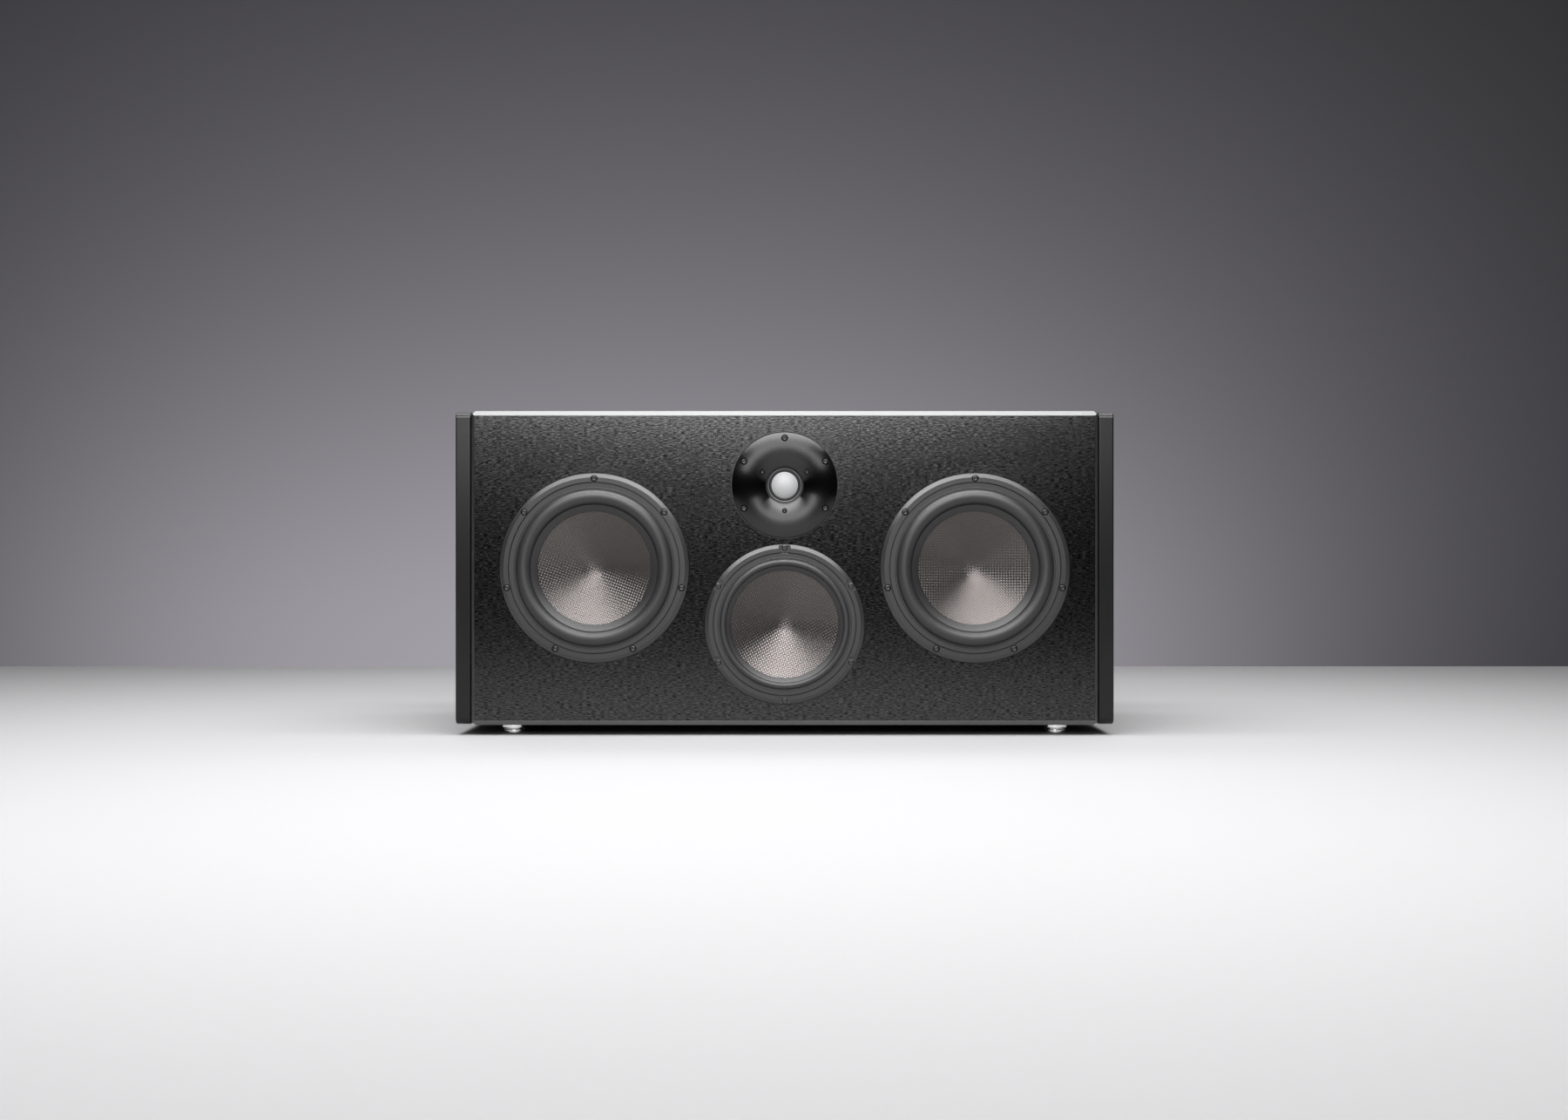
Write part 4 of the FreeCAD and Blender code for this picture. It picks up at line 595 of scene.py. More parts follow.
def woven_sheet(label, driver, turn):
    """The cone's cloth: tiles of a plain weave laid on the cone's front.

    Each tile is a small patch. Its height falls with the fourth power of the way along the bundle, where
    it dips under its neighbours, and as a flat arc across it. Warp and weft take turns in a chequer.
    """
    reach = driver.cloth + CLOTH_UNDER_RUBBER
    count = math.ceil(reach / BUNDLE_PITCH) + 1
    cells = np.arange(-count, count) + 0.5
    side_cell, rise_cell = np.meshgrid(cells, cells, indexing="ij")
    near = np.hypot(side_cell, rise_cell) * BUNDLE_PITCH < reach
    side_cell = side_cell[near][:, None, None]
    rise_cell = rise_cell[near][:, None, None]
    step = np.linspace(-1, 1, TILE_POINTS)
    over, up = np.meshgrid(step, step, indexing="ij")
    is_warp = (side_cell + rise_cell) % 2 == 1
    along = np.where(is_warp, over, up)
    across = np.where(is_warp, up, over)
    lift = BUNDLE_HEIGHT * (1 - BUNDLE_DIP * along**4) * np.sqrt(1 - BUNDLE_CROWN * across**2)
    side = (side_cell + over / 2 * np.where(is_warp, BUNDLE_LENGTH, BUNDLE_WIDTH)) * BUNDLE_PITCH
    rise = (rise_cell + up / 2 * np.where(is_warp, BUNDLE_WIDTH, BUNDLE_LENGTH)) * BUNDLE_PITCH
    cosine = math.cos(math.radians(turn))
    sine = math.sin(math.radians(turn))
    x = side * cosine - rise * sine
    y = side * sine + rise * cosine
    out = driver.cone_front(np.hypot(x, y)) + CLOTH_CLEAR + lift
    local = np.stack([x, y, out], axis=-1) * MM
    quads = repeated(grid_quads(TILE_POINTS, TILE_POINTS), TILE_POINTS**2, len(local))
    piece = make_piece(
        f"{label}_cloth",
        stand_front(local, driver_axis(f"{label}_magnet")),
        quads,
        FINISH["fibre"],
        f"{label}_diaphragm",
        sharp=180,
    )
    lay_uv(piece, "bundle", np.stack([across, along], axis=-1).reshape(-1, 2) * 0.5 + 0.5)


def flex_between(piece, centre):
    """Bakes a ring's placement into its mesh and reads its points about a centre; nothing more is done with
    them.
    """
    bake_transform(piece)
    points = np.zeros(len(piece.data.vertices) * 3)
    piece.data.vertices.foreach_get("co", points)
    points = points.reshape(-1, 3) - centre


RUBBER_EASE = 0.3
LIP_OFF_ROLL = 1.4
LIP_HALF = 0.5
LIP_RISE = 0.35
ROLL_SUPPORT = 0.6
TIP_SUPPORT = 0.4
TIP_EASE = 0.1


def rubber_surround(label, driver):
    """A flat flange with a raised lip, a half roll and an inner flange that lies along the cone's wall."""
    top = driver.top
    under = top - driver.skin
    slope = driver.slope
    drop = (driver.roll_inner - driver.cloth) * slope
    lip = driver.roll_outer + LIP_OFF_ROLL
    under_inner = driver.roll_inner + driver.skin
    under_outer = driver.roll_outer - driver.skin
    height = driver.roll_height
    outline = [
        [driver.outer, driver.ledge],
        [driver.outer, top - RUBBER_EASE],
        [driver.outer - RUBBER_EASE, top],
        *arc_run((lip + LIP_HALF, top), (lip - LIP_HALF, top), -LIP_RISE, steps=6),
        *arc_run((driver.roll_outer, top), (driver.roll_inner, top), -height, steps=36),
        [driver.roll_inner - ROLL_SUPPORT, top - ROLL_SUPPORT * slope],
        [driver.cloth + TIP_SUPPORT, top - drop + TIP_SUPPORT * slope],
        [driver.cloth + TIP_EASE, top - drop - TIP_EASE],
        [driver.cloth, top - drop - RUBBER_EASE],
        [driver.cloth, under - drop],
        [driver.roll_inner, under],
        *arc_run((under_inner, under), (under_outer, under), height, steps=24),
        [under_outer, driver.ledge],
    ]
    centre = driver_axis(f"{label}_magnet")
    piece = turned_piece(
        f"{label}_roll",
        outline,
        FINE_COLUMNS,
        centre,
        stand_front,
        FINISH["rubber"],
        None,
        sharp=40,
    )
    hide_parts(f"{label}_surround")
    flex_between(piece, centre)


SPIDER_WAVES = 4
SPIDER_SKIN = 1.0
SPIDER_POINTS = 57


def folded_spider(label, driver):
    """The cloth ring that centres the coil, its rim standing on the basket's floor.

    Its height is the top less half a fold's depth times one less the cosine of the way out, over its waves.
    """
    inner, rim, outer, floor, top, fold = driver.spider
    radius = np.linspace(inner, rim, SPIDER_POINTS)
    share = (radius - inner) / (rim - inner)
    height = top - fold / 2 * (1 - np.cos(TURN * SPIDER_WAVES * share))
    over = np.stack([radius, height], axis=-1)
    under = np.stack([radius, height - SPIDER_SKIN], axis=-1)[::-1]
    outline = np.concatenate([over, [[outer, top], [outer, floor], [rim, floor]], under])
    centre = driver_axis(f"{label}_magnet")
    piece = turned_piece(
        f"{label}_folds",
        outline,
        COLUMNS,
        centre,
        stand_front,
        FINISH["spider"],
        None,
        sharp=60,
    )
    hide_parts(f"{label}_spider")
    flex_between(piece, centre)


def angles_near(count, start, spread, fine, coarse):
    """Angles round a full turn, close together within a spread of each of several places."""
    step = TURN / count
    near = np.linspace(-spread, spread, fine)
    far = np.linspace(spread, step - spread, coarse + 2)[1:-1]
    one = np.concatenate([near, far])
    return (math.radians(start) + np.arange(count)[:, None] * step + one[None, :]).reshape(-1)


def ring_places(count, pitch, start):
    """Places on a ring about an axis: its radius times cosine and sine of even angles from a start."""
    angle = np.radians(start) + even_angles(count)
    return np.stack([pitch * np.cos(angle), pitch * np.sin(angle)], axis=-1)


def sunk(local, places, radius, floor):
    """Heights of points, lowered to a floor inside circles about some places."""
    across, up, height = np.moveaxis(local, -1, 0)
    for place_across, place_up in places:
        inside = np.hypot(across - place_across, up - place_up) < radius
        height = np.where(inside, np.minimum(height, floor), height)
    return height


def skin_piece(name, radius, height, angle, seats, centre, finish):
    """A skin over a round plate: a (radius, height) run carried round, with round seats sunk into it."""
    local = carried_round(radius, height, angle)
    for places, seat_radius, floor in seats:
        local[..., 2] = sunk(local, places, seat_radius, floor)
    quads = grid_quads(angle.size, radius.size, True, False)
    return make_piece(name, stand_front(local * MM, centre), quads, finish, "cabinet", sharp=32)


Head = namedtuple("Head", "radius height socket depth")

RIM_HEAD = Head(radius=3.3, height=2.4, socket=1.8, depth=1.5)
BORE_RADIUS = 3.5
SCREW_SEAT = -1.0
TOP_SCREW = 90.0
SKIN_PROUD = 0.06
RIM_WALL_PROUD = 0.05
RIM_POINTS = 46
RIM_FOOT = -3.0
RIM_FOOT_TOP = -0.4
RIM_EASE = 0.15
RIM_EASE_WIDTH = 0.25
GROOVE_EASE = 0.12
GROOVE_SUPPORT = 0.4
GROOVE_MIDDLE = 0.5
GROOVE_CLEAR = 0.05
NEAR_SCREW = 8.5


def rim_skin(label, driver):
    """The basket's front rim: outer wall, bevel, flat face, screw seats and the wall of the groove.

    The bevel rises in proportion to the way in from the flange's edge, until it meets the face.
    """
    face = driver.face + SKIN_PROUD
    run = np.linspace(driver.flange - RIM_EASE_WIDTH, driver.rim_inner, RIM_POINTS)
    slope = (driver.face - driver.edge) / driver.bevel
    bevel = np.minimum(driver.edge + SKIN_PROUD + (driver.flange - run) * slope, face)
    wall_out = [RIM_FOOT, RIM_FOOT_TOP, driver.edge - RIM_EASE]
    wall_in = [face - GROOVE_EASE, face - GROOVE_SUPPORT, GROOVE_MIDDLE, driver.ledge + GROOVE_CLEAR]
    outside = np.full(len(wall_out), driver.flange + RIM_WALL_PROUD)
    inside = np.full(len(wall_in), driver.rim_inner - GROOVE_EASE)
    radius = np.concatenate([outside, run, inside])
    height = np.concatenate([wall_out, bevel, wall_in])
    screws = driver.screws
    angle = angles_near(screws.count, TOP_SCREW, NEAR_SCREW / screws.pitch, fine=80, coarse=22)
    places = ring_places(screws.count, screws.pitch, TOP_SCREW)
    spot_floor = face - screws.spot_drop
    seats = [(places, screws.spot, spot_floor)]
    if spot_floor > SCREW_SEAT + RIM_HEAD.height:
        seats.append((places, BORE_RADIUS, SCREW_SEAT))
    centre = driver_axis(f"{label}_magnet")
    skin_piece(f"{label}_rim", radius, height, angle, seats, centre, FINISH["frame"])


# Shares of a screw head's radius, height or socket, and its small sizes
SHANK_SHARE = 0.7
CROWN_SHARE = 0.62
SHOULDER_SHARE = 0.55
SHOULDER_ANGLES = (0, 20, 45, 70, 90)
MOUTH_SHARE = 1.12
MOUTH_EASE = 0.12
POINT_SHARE = 0.02
POINT_DEPTH = 0.2
SHANK_LENGTH = 3.0
HEAD_COLUMNS = 48


def socket_screws(name, places, seat, head, centre, node):
    """Button-head screws: a hexagonal socket, a flat crown, a rounded shoulder and the head's wall.

    Each is a grid of rings. A socket ring's radius is the hexagon's: its half width over the cosine of
    the angle from the nearest flat's middle.
    """
    sixth = math.pi / 3
    angle = even_angles(HEAD_COLUMNS)
    hexagon = math.cos(sixth / 2) / np.cos((angle + sixth / 2) % sixth - sixth / 2)
    circle = np.ones(HEAD_COLUMNS)
    top = seat + head.height
    floor = top - head.depth
    rise = head.height * SHOULDER_SHARE
    rings = [
        (circle, head.radius * SHANK_SHARE, seat - SHANK_LENGTH),
        (circle, head.radius * SHANK_SHARE, seat),
        (circle, head.radius, seat),
    ]
    for bend in np.radians(SHOULDER_ANGLES):
        share = CROWN_SHARE + (1 - CROWN_SHARE) * math.cos(bend)
        rings.append((circle, head.radius * share, top - rise + rise * math.sin(bend)))
    rings += [
        (hexagon, head.socket * MOUTH_SHARE, top),
        (hexagon, head.socket, top - MOUTH_EASE),
        (hexagon, head.socket, floor),
        (hexagon, head.socket * POINT_SHARE, floor - POINT_DEPTH),
    ]
    radius = np.stack([shape * size for shape, size, _ in rings], axis=1)
    height = np.array([up for _, _, up in rings])
    one = carried_round(radius, height, angle)
    shift = np.concatenate([places, np.zeros((len(places), 1))], axis=1)
    local = (one[None] + shift[:, None, None, :]) * MM
    one_quads = grid_quads(HEAD_COLUMNS, len(rings), True, False)
    quads = repeated(one_quads, HEAD_COLUMNS * len(rings), len(places))
    points = stand_front(local, centre)
    piece = make_piece(name, points, quads, FINISH["screw"], "cabinet", sharp=30)
    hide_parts(node)


def dress_cone_drivers():
    """Cloth, surround, spider, rim and screws of each cone driver."""
    for label, (driver, turn) in DRIVERS.items():
        woven_sheet(label, driver, turn)
        rubber_surround(label, driver)
        folded_spider(label, driver)
        rim_skin(label, driver)
        places = ring_places(driver.screws.count, driver.screws.pitch, TOP_SCREW)
        centre = driver_axis(f"{label}_magnet")
        socket_screws(f"{label}_heads", places, SCREW_SEAT, RIM_HEAD, centre, f"{label}_screws")


# Tweeter
FACE_EDGE = (55.6, -0.2)
FACE_THROAT = (20.0, -1.9)
FACE_CROWN = 3.7
FACE_WALL = [(55.66, -3.0), (55.66, -0.6), (55.6, -0.3)]
THROAT_WALL = [(19.93, -2.05), (19.9, -2.3), (19.9, -5.0)]
# The faceplate's ring has places for six screws, and the lowest is left empty
FACE_SCREW_PLACES = 6
FACE_SCREWS = [0, 1, 2, 4, 5]
FACE_SCREW_PITCH = 49.7
FACE_SCREW_SEAT = -2.6
FIRST_SEAT = 30.0
NEAR_SEAT = 7.5
CLAMP_HEAD = Head(radius=2.4, height=2.0, socket=1.2, depth=1.2)
CLAMP_SCREWS = 3
CLAMP_PITCH = 27.3
CLAMP_SEAT = -3.0
CLAMP_BORE = 2.6


def tweeter_face(centre):
    """The crowned faceplate, an arc from its edge to the throat, with both rings of screws."""
    crown = arc_run(FACE_EDGE, FACE_THROAT, -FACE_CROWN, steps=110)
    radius, height = np.concatenate([FACE_WALL, crown, THROAT_WALL]).T
    angle = angles_near(FACE_SCREW_PLACES, FIRST_SEAT, math.radians(NEAR_SEAT), fine=56, coarse=26)
    face_places = ring_places(FACE_SCREW_PLACES, FACE_SCREW_PITCH, TOP_SCREW)[FACE_SCREWS]
    clamp_places = ring_places(CLAMP_SCREWS, CLAMP_PITCH, FIRST_SEAT)
    seats = [(face_places, BORE_RADIUS, FACE_SCREW_SEAT), (clamp_places, CLAMP_BORE, CLAMP_SEAT)]
    skin = skin_piece(
        "tweeter_face_skin",
        radius,
        height + SKIN_PROUD,
        angle,
        seats,
        centre,
        FINISH["faceplate"],
    )
    round_share = np.linspace(0, 1, angle.size)
    out_share = np.linspace(1, 0, radius.size)
    turn, out = np.meshgrid(round_share, out_share, indexing="ij")
    lay_uv(skin, "outward", np.stack([out, turn], axis=-1).reshape(-1, 2))
    socket_screws(
        "tweeter_rim_heads", face_places, FACE_SCREW_SEAT, RIM_HEAD, centre, "tweeter_screws"
    )
    socket_screws(
        "tweeter_clamp_heads", clamp_places, CLAMP_SEAT, CLAMP_HEAD, centre, "tweeter_clamp_screws"
    )


DOME_BASE = -6.6
DOME_RADIUS = 14.05
DOME_HEIGHT = 4.6
DOME_INNER_RADIUS = 13.4
DOME_INNER_HEIGHT = 4.2
DOME_POLE = 0.001


def dome_rise(radius, height):
    """The rise of the arc from a dome's rim to its top.

    It is the sphere's radius less the distance from its centre to the arc's chord.
    """
    sphere = (radius**2 + height**2) / (2 * height)
    return sphere - math.sqrt(sphere**2 - (radius**2 + height**2) / 4)


def tweeter_dome(centre):
    """The dome: a thin shell between two round caps."""
    rise = dome_rise(DOME_RADIUS, DOME_HEIGHT)
    inner_rise = dome_rise(DOME_INNER_RADIUS, DOME_INNER_HEIGHT)
    top = (DOME_POLE, DOME_BASE + DOME_HEIGHT)
    inner_top = (DOME_POLE, DOME_BASE + DOME_INNER_HEIGHT)
    outline = [
        *arc_run((DOME_RADIUS, DOME_BASE), top, -rise, steps=40),
        *arc_run(inner_top, (DOME_INNER_RADIUS, DOME_BASE), inner_rise, steps=24),
    ]
    piece = turned_piece(
        "tweeter_dome_shell",
        outline,
        COLUMNS,
        centre,
        stand_front,
        FINISH["dome"],
        "tweeter_diaphragm",
        sharp=50,
    )
    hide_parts("tweeter_dome")


ROLL_INNER = 14.1
ROLL_OUTER = 16.7
ROLL_RISE = 0.9
ROLL_SKIN = 0.4
CLAMP_INNER = 18.5
CLAMP_OUTER = 23.0
CLAMP_FLOOR = -9.0
CLAMP_TOP = -5.0
CLAMP_EDGE = [(18.9, -5.0), (18.6, -5.2)]


def tweeter_surround(centre):
    """The dome's small half roll, and the ring that is clamped behind the faceplate."""
    under = DOME_BASE - ROLL_SKIN
    outline = [
        *arc_run((ROLL_INNER, under), (ROLL_OUTER, under), ROLL_RISE, steps=16),
        (CLAMP_INNER, under),
        (CLAMP_INNER, CLAMP_FLOOR),
        (CLAMP_OUTER, CLAMP_FLOOR),
        (CLAMP_OUTER, CLAMP_TOP),
        *CLAMP_EDGE,
        (CLAMP_INNER, DOME_BASE),
        *arc_run((ROLL_OUTER, DOME_BASE), (ROLL_INNER, DOME_BASE), -ROLL_RISE, steps=20),
    ]
    piece = turned_piece(
        "tweeter_roll",
        outline,
        COLUMNS,
        centre,
        stand_front,
        FINISH["dome_surround"],
        None,
        sharp=40,
    )
    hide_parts("tweeter_surround")
    flex_between(piece, centre)


RECESS_INNER = 56.1
RECESS_BEVEL = 56.6
RECESS_OUTER = 56.9
RECESS_FLOOR = -0.5
RECESS_WALL_TOP = -0.4
RECESS_PROUD = 0.05
TRIM_INNER = 16.9
TRIM_OUTER = 17.9
TRIM_RISE = 0.5
TRIM_FOOT = 0.2


def tweeter_rings(centre):
    """The bevelled edge of the tweeter's recess, and the round-backed trim ring about the dome."""
    recess = [
        (RECESS_INNER, RECESS_FLOOR),
        (RECESS_INNER, RECESS_WALL_TOP),
        (RECESS_BEVEL, RECESS_PROUD),
        (RECESS_OUTER, RECESS_PROUD),
        (RECESS_OUTER, RECESS_FLOOR),
    ]
    turned_piece(
        "tweeter_recess_edge",
        recess,
        FINE_COLUMNS,
        centre,
        stand_front,
        FINISH["screw"],
        "cabinet",
        sharp=20,
    )
    trim = [
        *arc_run((TRIM_INNER, DOME_BASE), (TRIM_OUTER, DOME_BASE), TRIM_RISE, steps=16),
        (TRIM_OUTER, DOME_BASE - TRIM_FOOT),
        (TRIM_INNER, DOME_BASE - TRIM_FOOT),
    ]
    turned_piece(
        "tweeter_trim_ring",
        trim,
        COLUMNS,
        centre,
        stand_front,
        FINISH["ring"],
        "cabinet",
        sharp=60,
    )


def dress_tweeter():
    """Faceplate and screws, dome, surround and rings of the tweeter."""
    centre = driver_axis("tweeter_magnet")
    tweeter_face(centre)
    tweeter_dome(centre)
    tweeter_surround(centre)
    tweeter_rings(centre)


# Cabinet
CORNER_STEPS = 10
TIGHTEST_CORNER = 0.4
PANEL_THICKNESS = 16.0
PANEL_EASE = 1.2
PANEL_EASE_POINTS = 6
PANEL_SUPPORT = 0.6
PANEL_CORNER = 8.0
FACE_INSET = 2.2
LAND_HEIGHT = 1.3
LAND_INSET = 9.0
LAND_CORNER = 9.4


def rounded_box(near, far, low, high, radius, inset):
    """A rectangle in (rear, up) with round corners, drawn in by an inset that also tightens the corners.

    Each corner is a quarter circle about its own middle, begun a quarter turn after the one before.
    """
    bend = max(radius - inset, TIGHTEST_CORNER)
    draw = inset + bend
    middles = np.array(
        [
            (far - draw, high - draw),
            (near + draw, high - draw),
            (near + draw, low + draw),
            (far - draw, low + draw),
        ]
    )
    quarter = np.linspace(0, TURN / 4, CORNER_STEPS + 1)
    angle = even_angles(len(middles))[:, None] + quarter
    arcs = bend * np.stack([np.cos(angle), np.sin(angle)], axis=-1)
    return (middles[:, None] + arcs).reshape(-1, 2)


def side_panel(label, side):
    """A thick end panel: rounded outlines stacked through it, eased at both faces, and its inner land."""
    low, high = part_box(label)
    quarter = np.linspace(0, TURN / 4, PANEL_EASE_POINTS)
    easing = [(PANEL_EASE * math.sin(bend), PANEL_EASE * (1 - math.cos(bend))) for bend in quarter]
    layers = [(0.0, FACE_INSET)]
    layers += [(PANEL_EASE - depth, inset) for depth, inset in easing[::-1]]
    layers += [(PANEL_EASE + PANEL_SUPPORT, 0.0), (PANEL_THICKNESS - PANEL_EASE - PANEL_SUPPORT, 0.0)]
    layers += [(PANEL_THICKNESS - PANEL_EASE + depth, inset) for depth, inset in easing]
    layers += [(PANEL_THICKNESS, FACE_INSET), (PANEL_THICKNESS, LAND_INSET)]
    layers += [(PANEL_THICKNESS + LAND_HEIGHT, LAND_INSET)]
    outer = low.x if side < 0 else high.x
    rings = []
    for depth, inset in layers:
        corner = PANEL_CORNER if inset < LAND_INSET else LAND_CORNER
        outline = rounded_box(low.y / MM, high.y / MM, low.z / MM, high.z / MM, corner, inset)
        across = np.full((len(outline), 1), outer / MM - side * depth)
        rings.append(np.concatenate([across, outline], axis=1))
    points = np.stack(rings) * MM
    count, around = points.shape[:2]
    first_cap = np.arange(around)
    last_cap = (count - 1) * around + first_cap[::-1]
    faces = [*grid_quads(count, around, False, True), first_cap, last_cap]
    if side > 0:
        faces = [face[::-1] for face in faces]
    name = label.replace("_side_panel", "_end_plate")
    piece = make_piece(name, points, faces, FINISH["panel"], "cabinet", sharp=40)
    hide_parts(label)


FOOT_AXIS = 0.01
FOOT_DISC = 10.8
FOOT_DISC_TOP = 4.4
FOOT_NECK = 9.4
FOOT_NECK_TOP = 5.3
FOOT_RING = 12.4
FOOT_RING_TOP = 11.0
FOOT_STUD = 4.0
FOOT_STUD_TOP = 21.0
FOOT_COLUMNS = 96


def turned_foot(label):
    """A polished foot: a disc, a neck and a wider ring, with softened edges, and the stud above.

    Each row of its outline is a radius, a height and the ease of that corner.
    """
    middle = box_middle(label)
    rows = np.array(
        [
            (FOOT_AXIS, 0.0, 0.01),
            (FOOT_DISC, 0.0, 0.8),
            (FOOT_DISC, FOOT_DISC_TOP, 0.7),
            (FOOT_NECK, FOOT_DISC_TOP, 0.1),
            (FOOT_NECK, FOOT_NECK_TOP, 0.1),
            (FOOT_RING, FOOT_NECK_TOP, 0.9),
            (FOOT_RING, FOOT_RING_TOP, 0.2),
            (FOOT_STUD, FOOT_RING_TOP, 0.1),
            (FOOT_STUD, FOOT_STUD_TOP, 0.4),
            (FOOT_AXIS, FOOT_STUD_TOP, 0.01),
        ]
    )
    piece = turned_piece(
        f"{label}_turned",
        eased(rows[:, :2], rows[:, 2], steps=4),
        FOOT_COLUMNS,
        np.array([middle[0], middle[1], 0.0]),
        stand_up,
        FINISH["polished"],
        "cabinet",
        sharp=60,
    )
    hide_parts(label)


GRIP_RADIUS = 9.5
GRIP_GROOVE = 8.9
GRIP_END = 8.6
GRIP_BORE = 6.8
GRIP_SLEEVE = 4.3
GRIP_HOLE = 3.0
GRIP_FOOT = 7.3
GRIP_COLLAR_TOP = 9.4
GRIP_GROOVE_LOW = 9.9
GRIP_GROOVE_HIGH = 10.6
GRIP_BODY_LOW = 11.1
GRIP_BORE_TOP = 26.6
GRIP_BODY_HIGH = 28.6
GRIP_HOLE_FLOOR = 29.3
GRIP_TOP = 31.3
GRIP_EASE = 0.4
GRIP_COLUMNS = 240
FLUTES = 18
FLUTE_DEPTH = 0.55
FLUTE_STEEPNESS = 1.4
FLUTE_LOW = 11.6
FLUTE_HIGH = 28.4
FLUTE_INNER = 8.8


def post_grip(colour):
    """A binding post's grip: a turned outline whose middle is fluted.

    Between the flutes' ends the radius loses their depth times one less a clipped cosine of the angle.
    """
    corners = [
        (GRIP_BORE, GRIP_FOOT),
        (GRIP_RADIUS, GRIP_FOOT),
        (GRIP_RADIUS, GRIP_COLLAR_TOP),
        (GRIP_GROOVE, GRIP_GROOVE_LOW),
        (GRIP_GROOVE, GRIP_GROOVE_HIGH),
        (GRIP_RADIUS, GRIP_BODY_LOW),
        (GRIP_RADIUS, GRIP_BODY_HIGH),
        (GRIP_END, GRIP_TOP),
        (GRIP_HOLE, GRIP_TOP),
        (GRIP_HOLE, GRIP_HOLE_FLOOR),
        (GRIP_SLEEVE, GRIP_HOLE_FLOOR),
        (GRIP_SLEEVE, GRIP_BORE_TOP),
        (GRIP_BORE, GRIP_BORE_TOP),
    ]
    radius, height = anticlockwise(eased(corners, GRIP_EASE, steps=3)).T
    angle = even_angles(GRIP_COLUMNS)
    fluted = (height > FLUTE_LOW) & (height < FLUTE_HIGH) & (radius > FLUTE_INNER)
    wave = np.clip(np.cos(angle * FLUTES) * FLUTE_STEEPNESS, -1, 1)[:, None]
    fluted_radius = radius + np.where(fluted, FLUTE_DEPTH * (wave - 1), 0)
    local = carried_round(fluted_radius, height, angle) * MM
    middle = box_middle(f"{colour}_cap")
    centre = np.array([middle[0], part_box("rear_panel")[1].y, middle[2]])
    piece = make_piece(
        f"{colour}_grip_fluted",
        stand_rear(local, centre),
        grid_quads(GRIP_COLUMNS, radius.size, True, True),
        FINISH[colour],
        f"{colour}_grip",
        sharp=40,
    )
    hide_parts(f"{colour}_cap")


def dress_cabinet():
    """End panels, feet and binding posts."""
    side_panel("left_side_panel", -1)
    side_panel("right_side_panel", 1)
    for end in ("front", "rear"):
        for side in ("left", "right"):
            turned_foot(f"{end}_{side}_foot")
    post_grip("red")
    post_grip("black")


# Stage, lights and camera, in metres
FLOOR_SEEN = (0.425, 0.421, 0.429, 1.0)
FLOOR_CAST = (0.37, 0.37, 0.37, 1.0)
WALL_COLOUR = (0.05, 0.048, 0.0535, 1.0)
FLOOR_HALF = 4
FLOOR_NEAR = front_y - 1.75
FLOOR_FAR = front_y + 1.5
WALL_HALF = 5
WALL_LOW = -1
WALL_HIGH = 4
WALL_PLACE = front_y + 2.6
STAGE_SHINE = 0.2
WORLD_GREY = 0.5
WORLD_STRENGTH = 0.03
PHOTO_WIDTH = 1800
MM_PER_PIXEL = 0.922
SENSOR_WIDTH = 36.0
EYE_DISTANCE = 2.3
EYE_SIDE = -0.0007
EYE_HEIGHT = 0.186


def stage_plane(name, corners, seen, cast, roughness):
    """A large flat plane of the studio, with the colour that the camera sees and the one that it casts."""
    finish, tree, shader = new_finish(name, Roughness=roughness, Specular_IOR_Level=STAGE_SHINE)
    ray = tree.nodes.new("ShaderNodeLightPath")
    camera_colour = mix_to(
        tree, "RGBA", ray.outputs["Is Camera Ray"], cast, shader.inputs["Base Color"]
    )
    camera_colour.default_value = seen
    mesh = bpy.data.meshes.new(name)
    mesh.from_pydata(corners, [], [(0, 1, 2, 3)])
    mesh.materials.append(finish)
    plane = bpy.data.objects.new(name, mesh)
    bpy.context.scene.collection.objects.link(plane)


def area_lamp(name, place, aim, width, height, power, shape="RECTANGLE"):
    """A soft flat lamp that faces a point and that the camera doesn't see."""
    lamp = bpy.data.lights.new(name, "AREA")
    lamp.shape = shape
    lamp.size = width
    lamp.size_y = height
    lamp.energy = power
    holder = bpy.data.objects.new(name, lamp)
    holder.location = place
    way = np.array(aim, float) - np.array(place, float)
    holder.rotation_euler = Vector(way).to_track_quat("-Z", "Y").to_euler()
    holder.visible_camera = False
    bpy.context.scene.collection.objects.link(holder)


def set_planes():
    """A pale floor and a grey wall behind it."""
    floor = [
        (-FLOOR_HALF, FLOOR_NEAR, 0),
        (FLOOR_HALF, FLOOR_NEAR, 0),
        (FLOOR_HALF, FLOOR_FAR, 0),
        (-FLOOR_HALF, FLOOR_FAR, 0),
    ]
    wall = [
        (-WALL_HALF, WALL_PLACE, WALL_LOW),
        (WALL_HALF, WALL_PLACE, WALL_LOW),
        (WALL_HALF, WALL_PLACE, WALL_HIGH),
        (-WALL_HALF, WALL_PLACE, WALL_HIGH),
    ]
    stage_plane("pale_floor", floor, FLOOR_SEEN, FLOOR_CAST, roughness=0.6)
    stage_plane("grey_wall", wall, WALL_COLOUR, WALL_COLOUR, roughness=0.8)


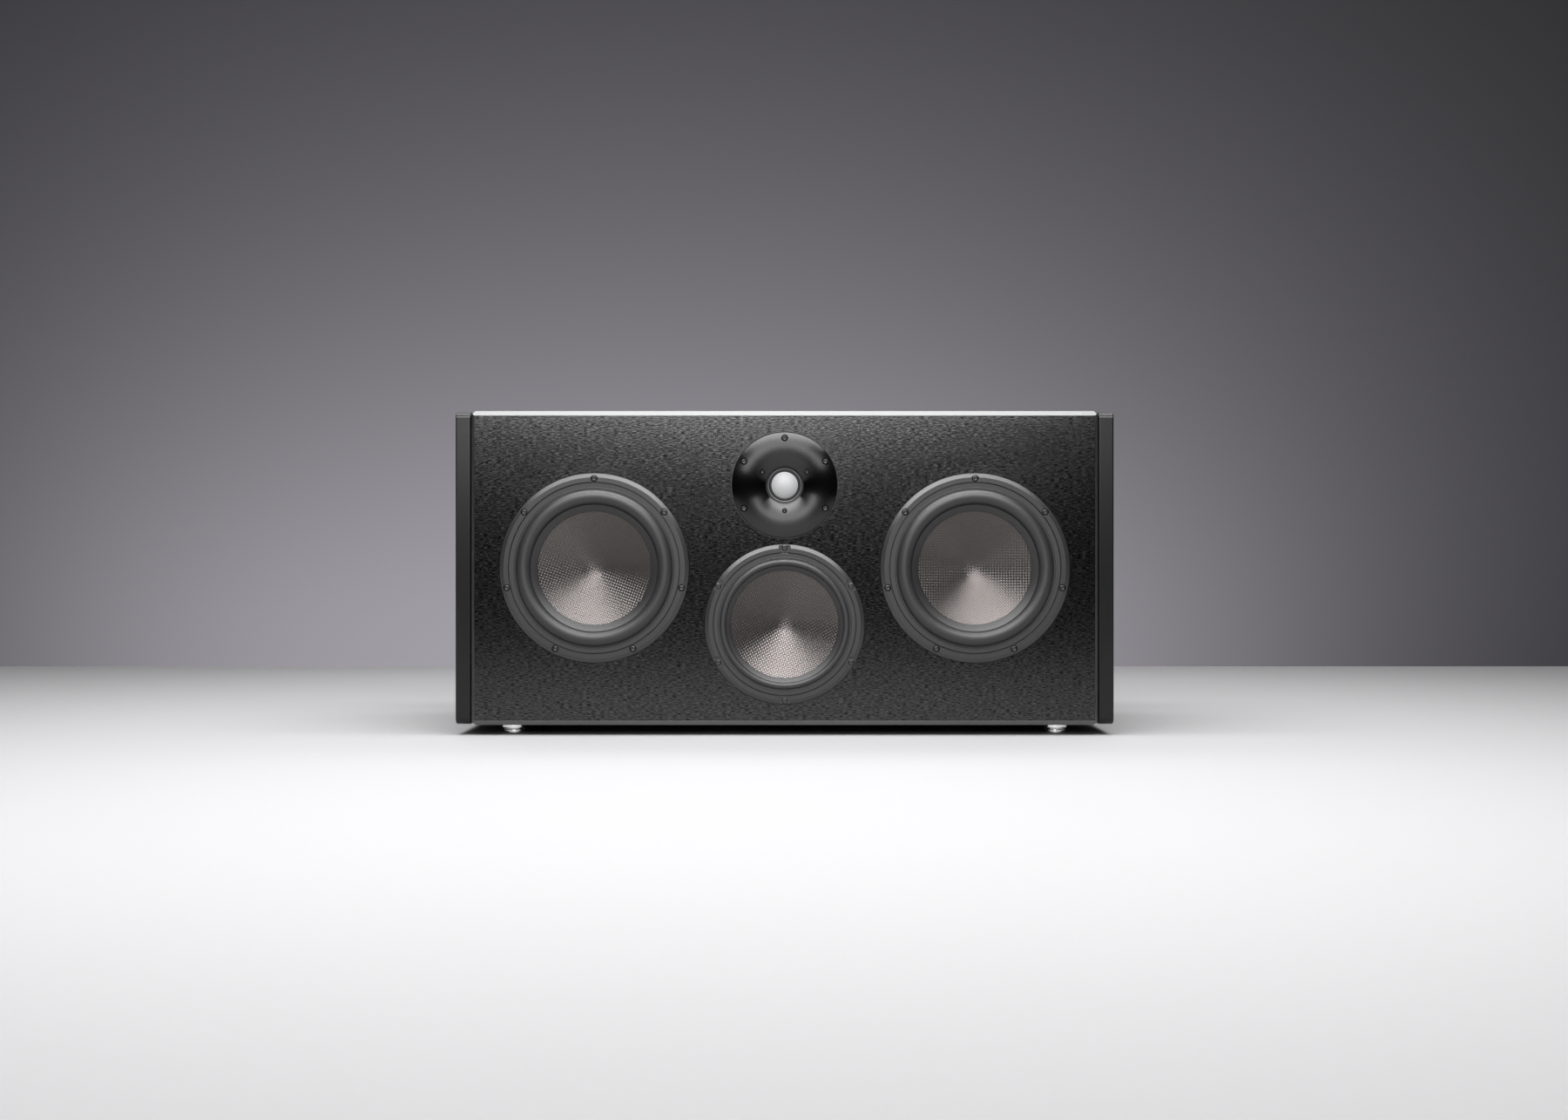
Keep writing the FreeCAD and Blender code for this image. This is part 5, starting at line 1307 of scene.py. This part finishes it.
def set_lights():
    """Soft light from above and from the front, a wash on the wall and a dim grey world."""
    area_lamp(
        "key",
        place=(-0.08, front_y - 1.15, 1.35),
        aim=(-0.08, front_y - 0.35, 0.0),
        width=2.6,
        height=0.6,
        power=41.0,
        shape="ELLIPSE",
    )
    area_lamp(
        "overhead",
        place=(-0.05, front_y - 0.12, 1.4),
        aim=(-0.05, front_y - 0.12, 0),
        width=1.6,
        height=0.36,
        power=22.0,
    )
    area_lamp(
        "back_top",
        place=(0.0, front_y + 0.8, 1.4),
        aim=(0.0, front_y + 0.8, 0),
        width=2.4,
        height=0.6,
        power=18.0,
    )
    area_lamp(
        "front_soft",
        place=(-0.15, front_y - 3.0, 1.75),
        aim=(-0.15, front_y, 1.75),
        width=2.0,
        height=1.5,
        power=17.5,
        shape="ELLIPSE",
    )
    area_lamp(
        "front_low",
        place=(-0.10, front_y - 3.0, 0.80),
        aim=(-0.10, front_y, 0.80),
        width=1.9,
        height=0.5,
        power=15.5,
        shape="ELLIPSE",
    )
    area_lamp(
        "wall_wash",
        place=(-0.36, FLOOR_FAR + 0.25, -0.3),
        aim=(-0.36, WALL_PLACE, 0.75),
        width=2.6,
        height=0.3,
        power=115.0,
    )
    world = bpy.context.scene.world or bpy.data.worlds.new("studio")
    bpy.context.scene.world = world
    world.use_nodes = True
    background = world.node_tree.nodes["Background"]
    background.inputs["Color"].default_value = grey(WORLD_GREY)
    background.inputs["Strength"].default_value = WORLD_STRENGTH


def set_camera():
    """The camera square on to the baffle, its view as wide at the baffle as the photo is."""
    view_width = PHOTO_WIDTH * MM_PER_PIXEL * MM
    camera = bpy.data.cameras.new("photo_view")
    camera.sensor_width = SENSOR_WIDTH
    camera.sensor_fit = "HORIZONTAL"
    camera.lens = SENSOR_WIDTH * EYE_DISTANCE / view_width
    eye = bpy.data.objects.new("photo_view", camera)
    eye.location = (EYE_SIDE, front_y - EYE_DISTANCE, EYE_HEIGHT)
    eye.rotation_euler = (math.pi / 2, 0, 0)
    bpy.context.scene.collection.objects.link(eye)
    bpy.context.scene.camera = eye
    bpy.context.scene.view_settings.view_transform = "Standard"


dress_nodes()
dress_cone_drivers()
dress_tweeter()
dress_cabinet()
set_planes()
set_lights()
set_camera()
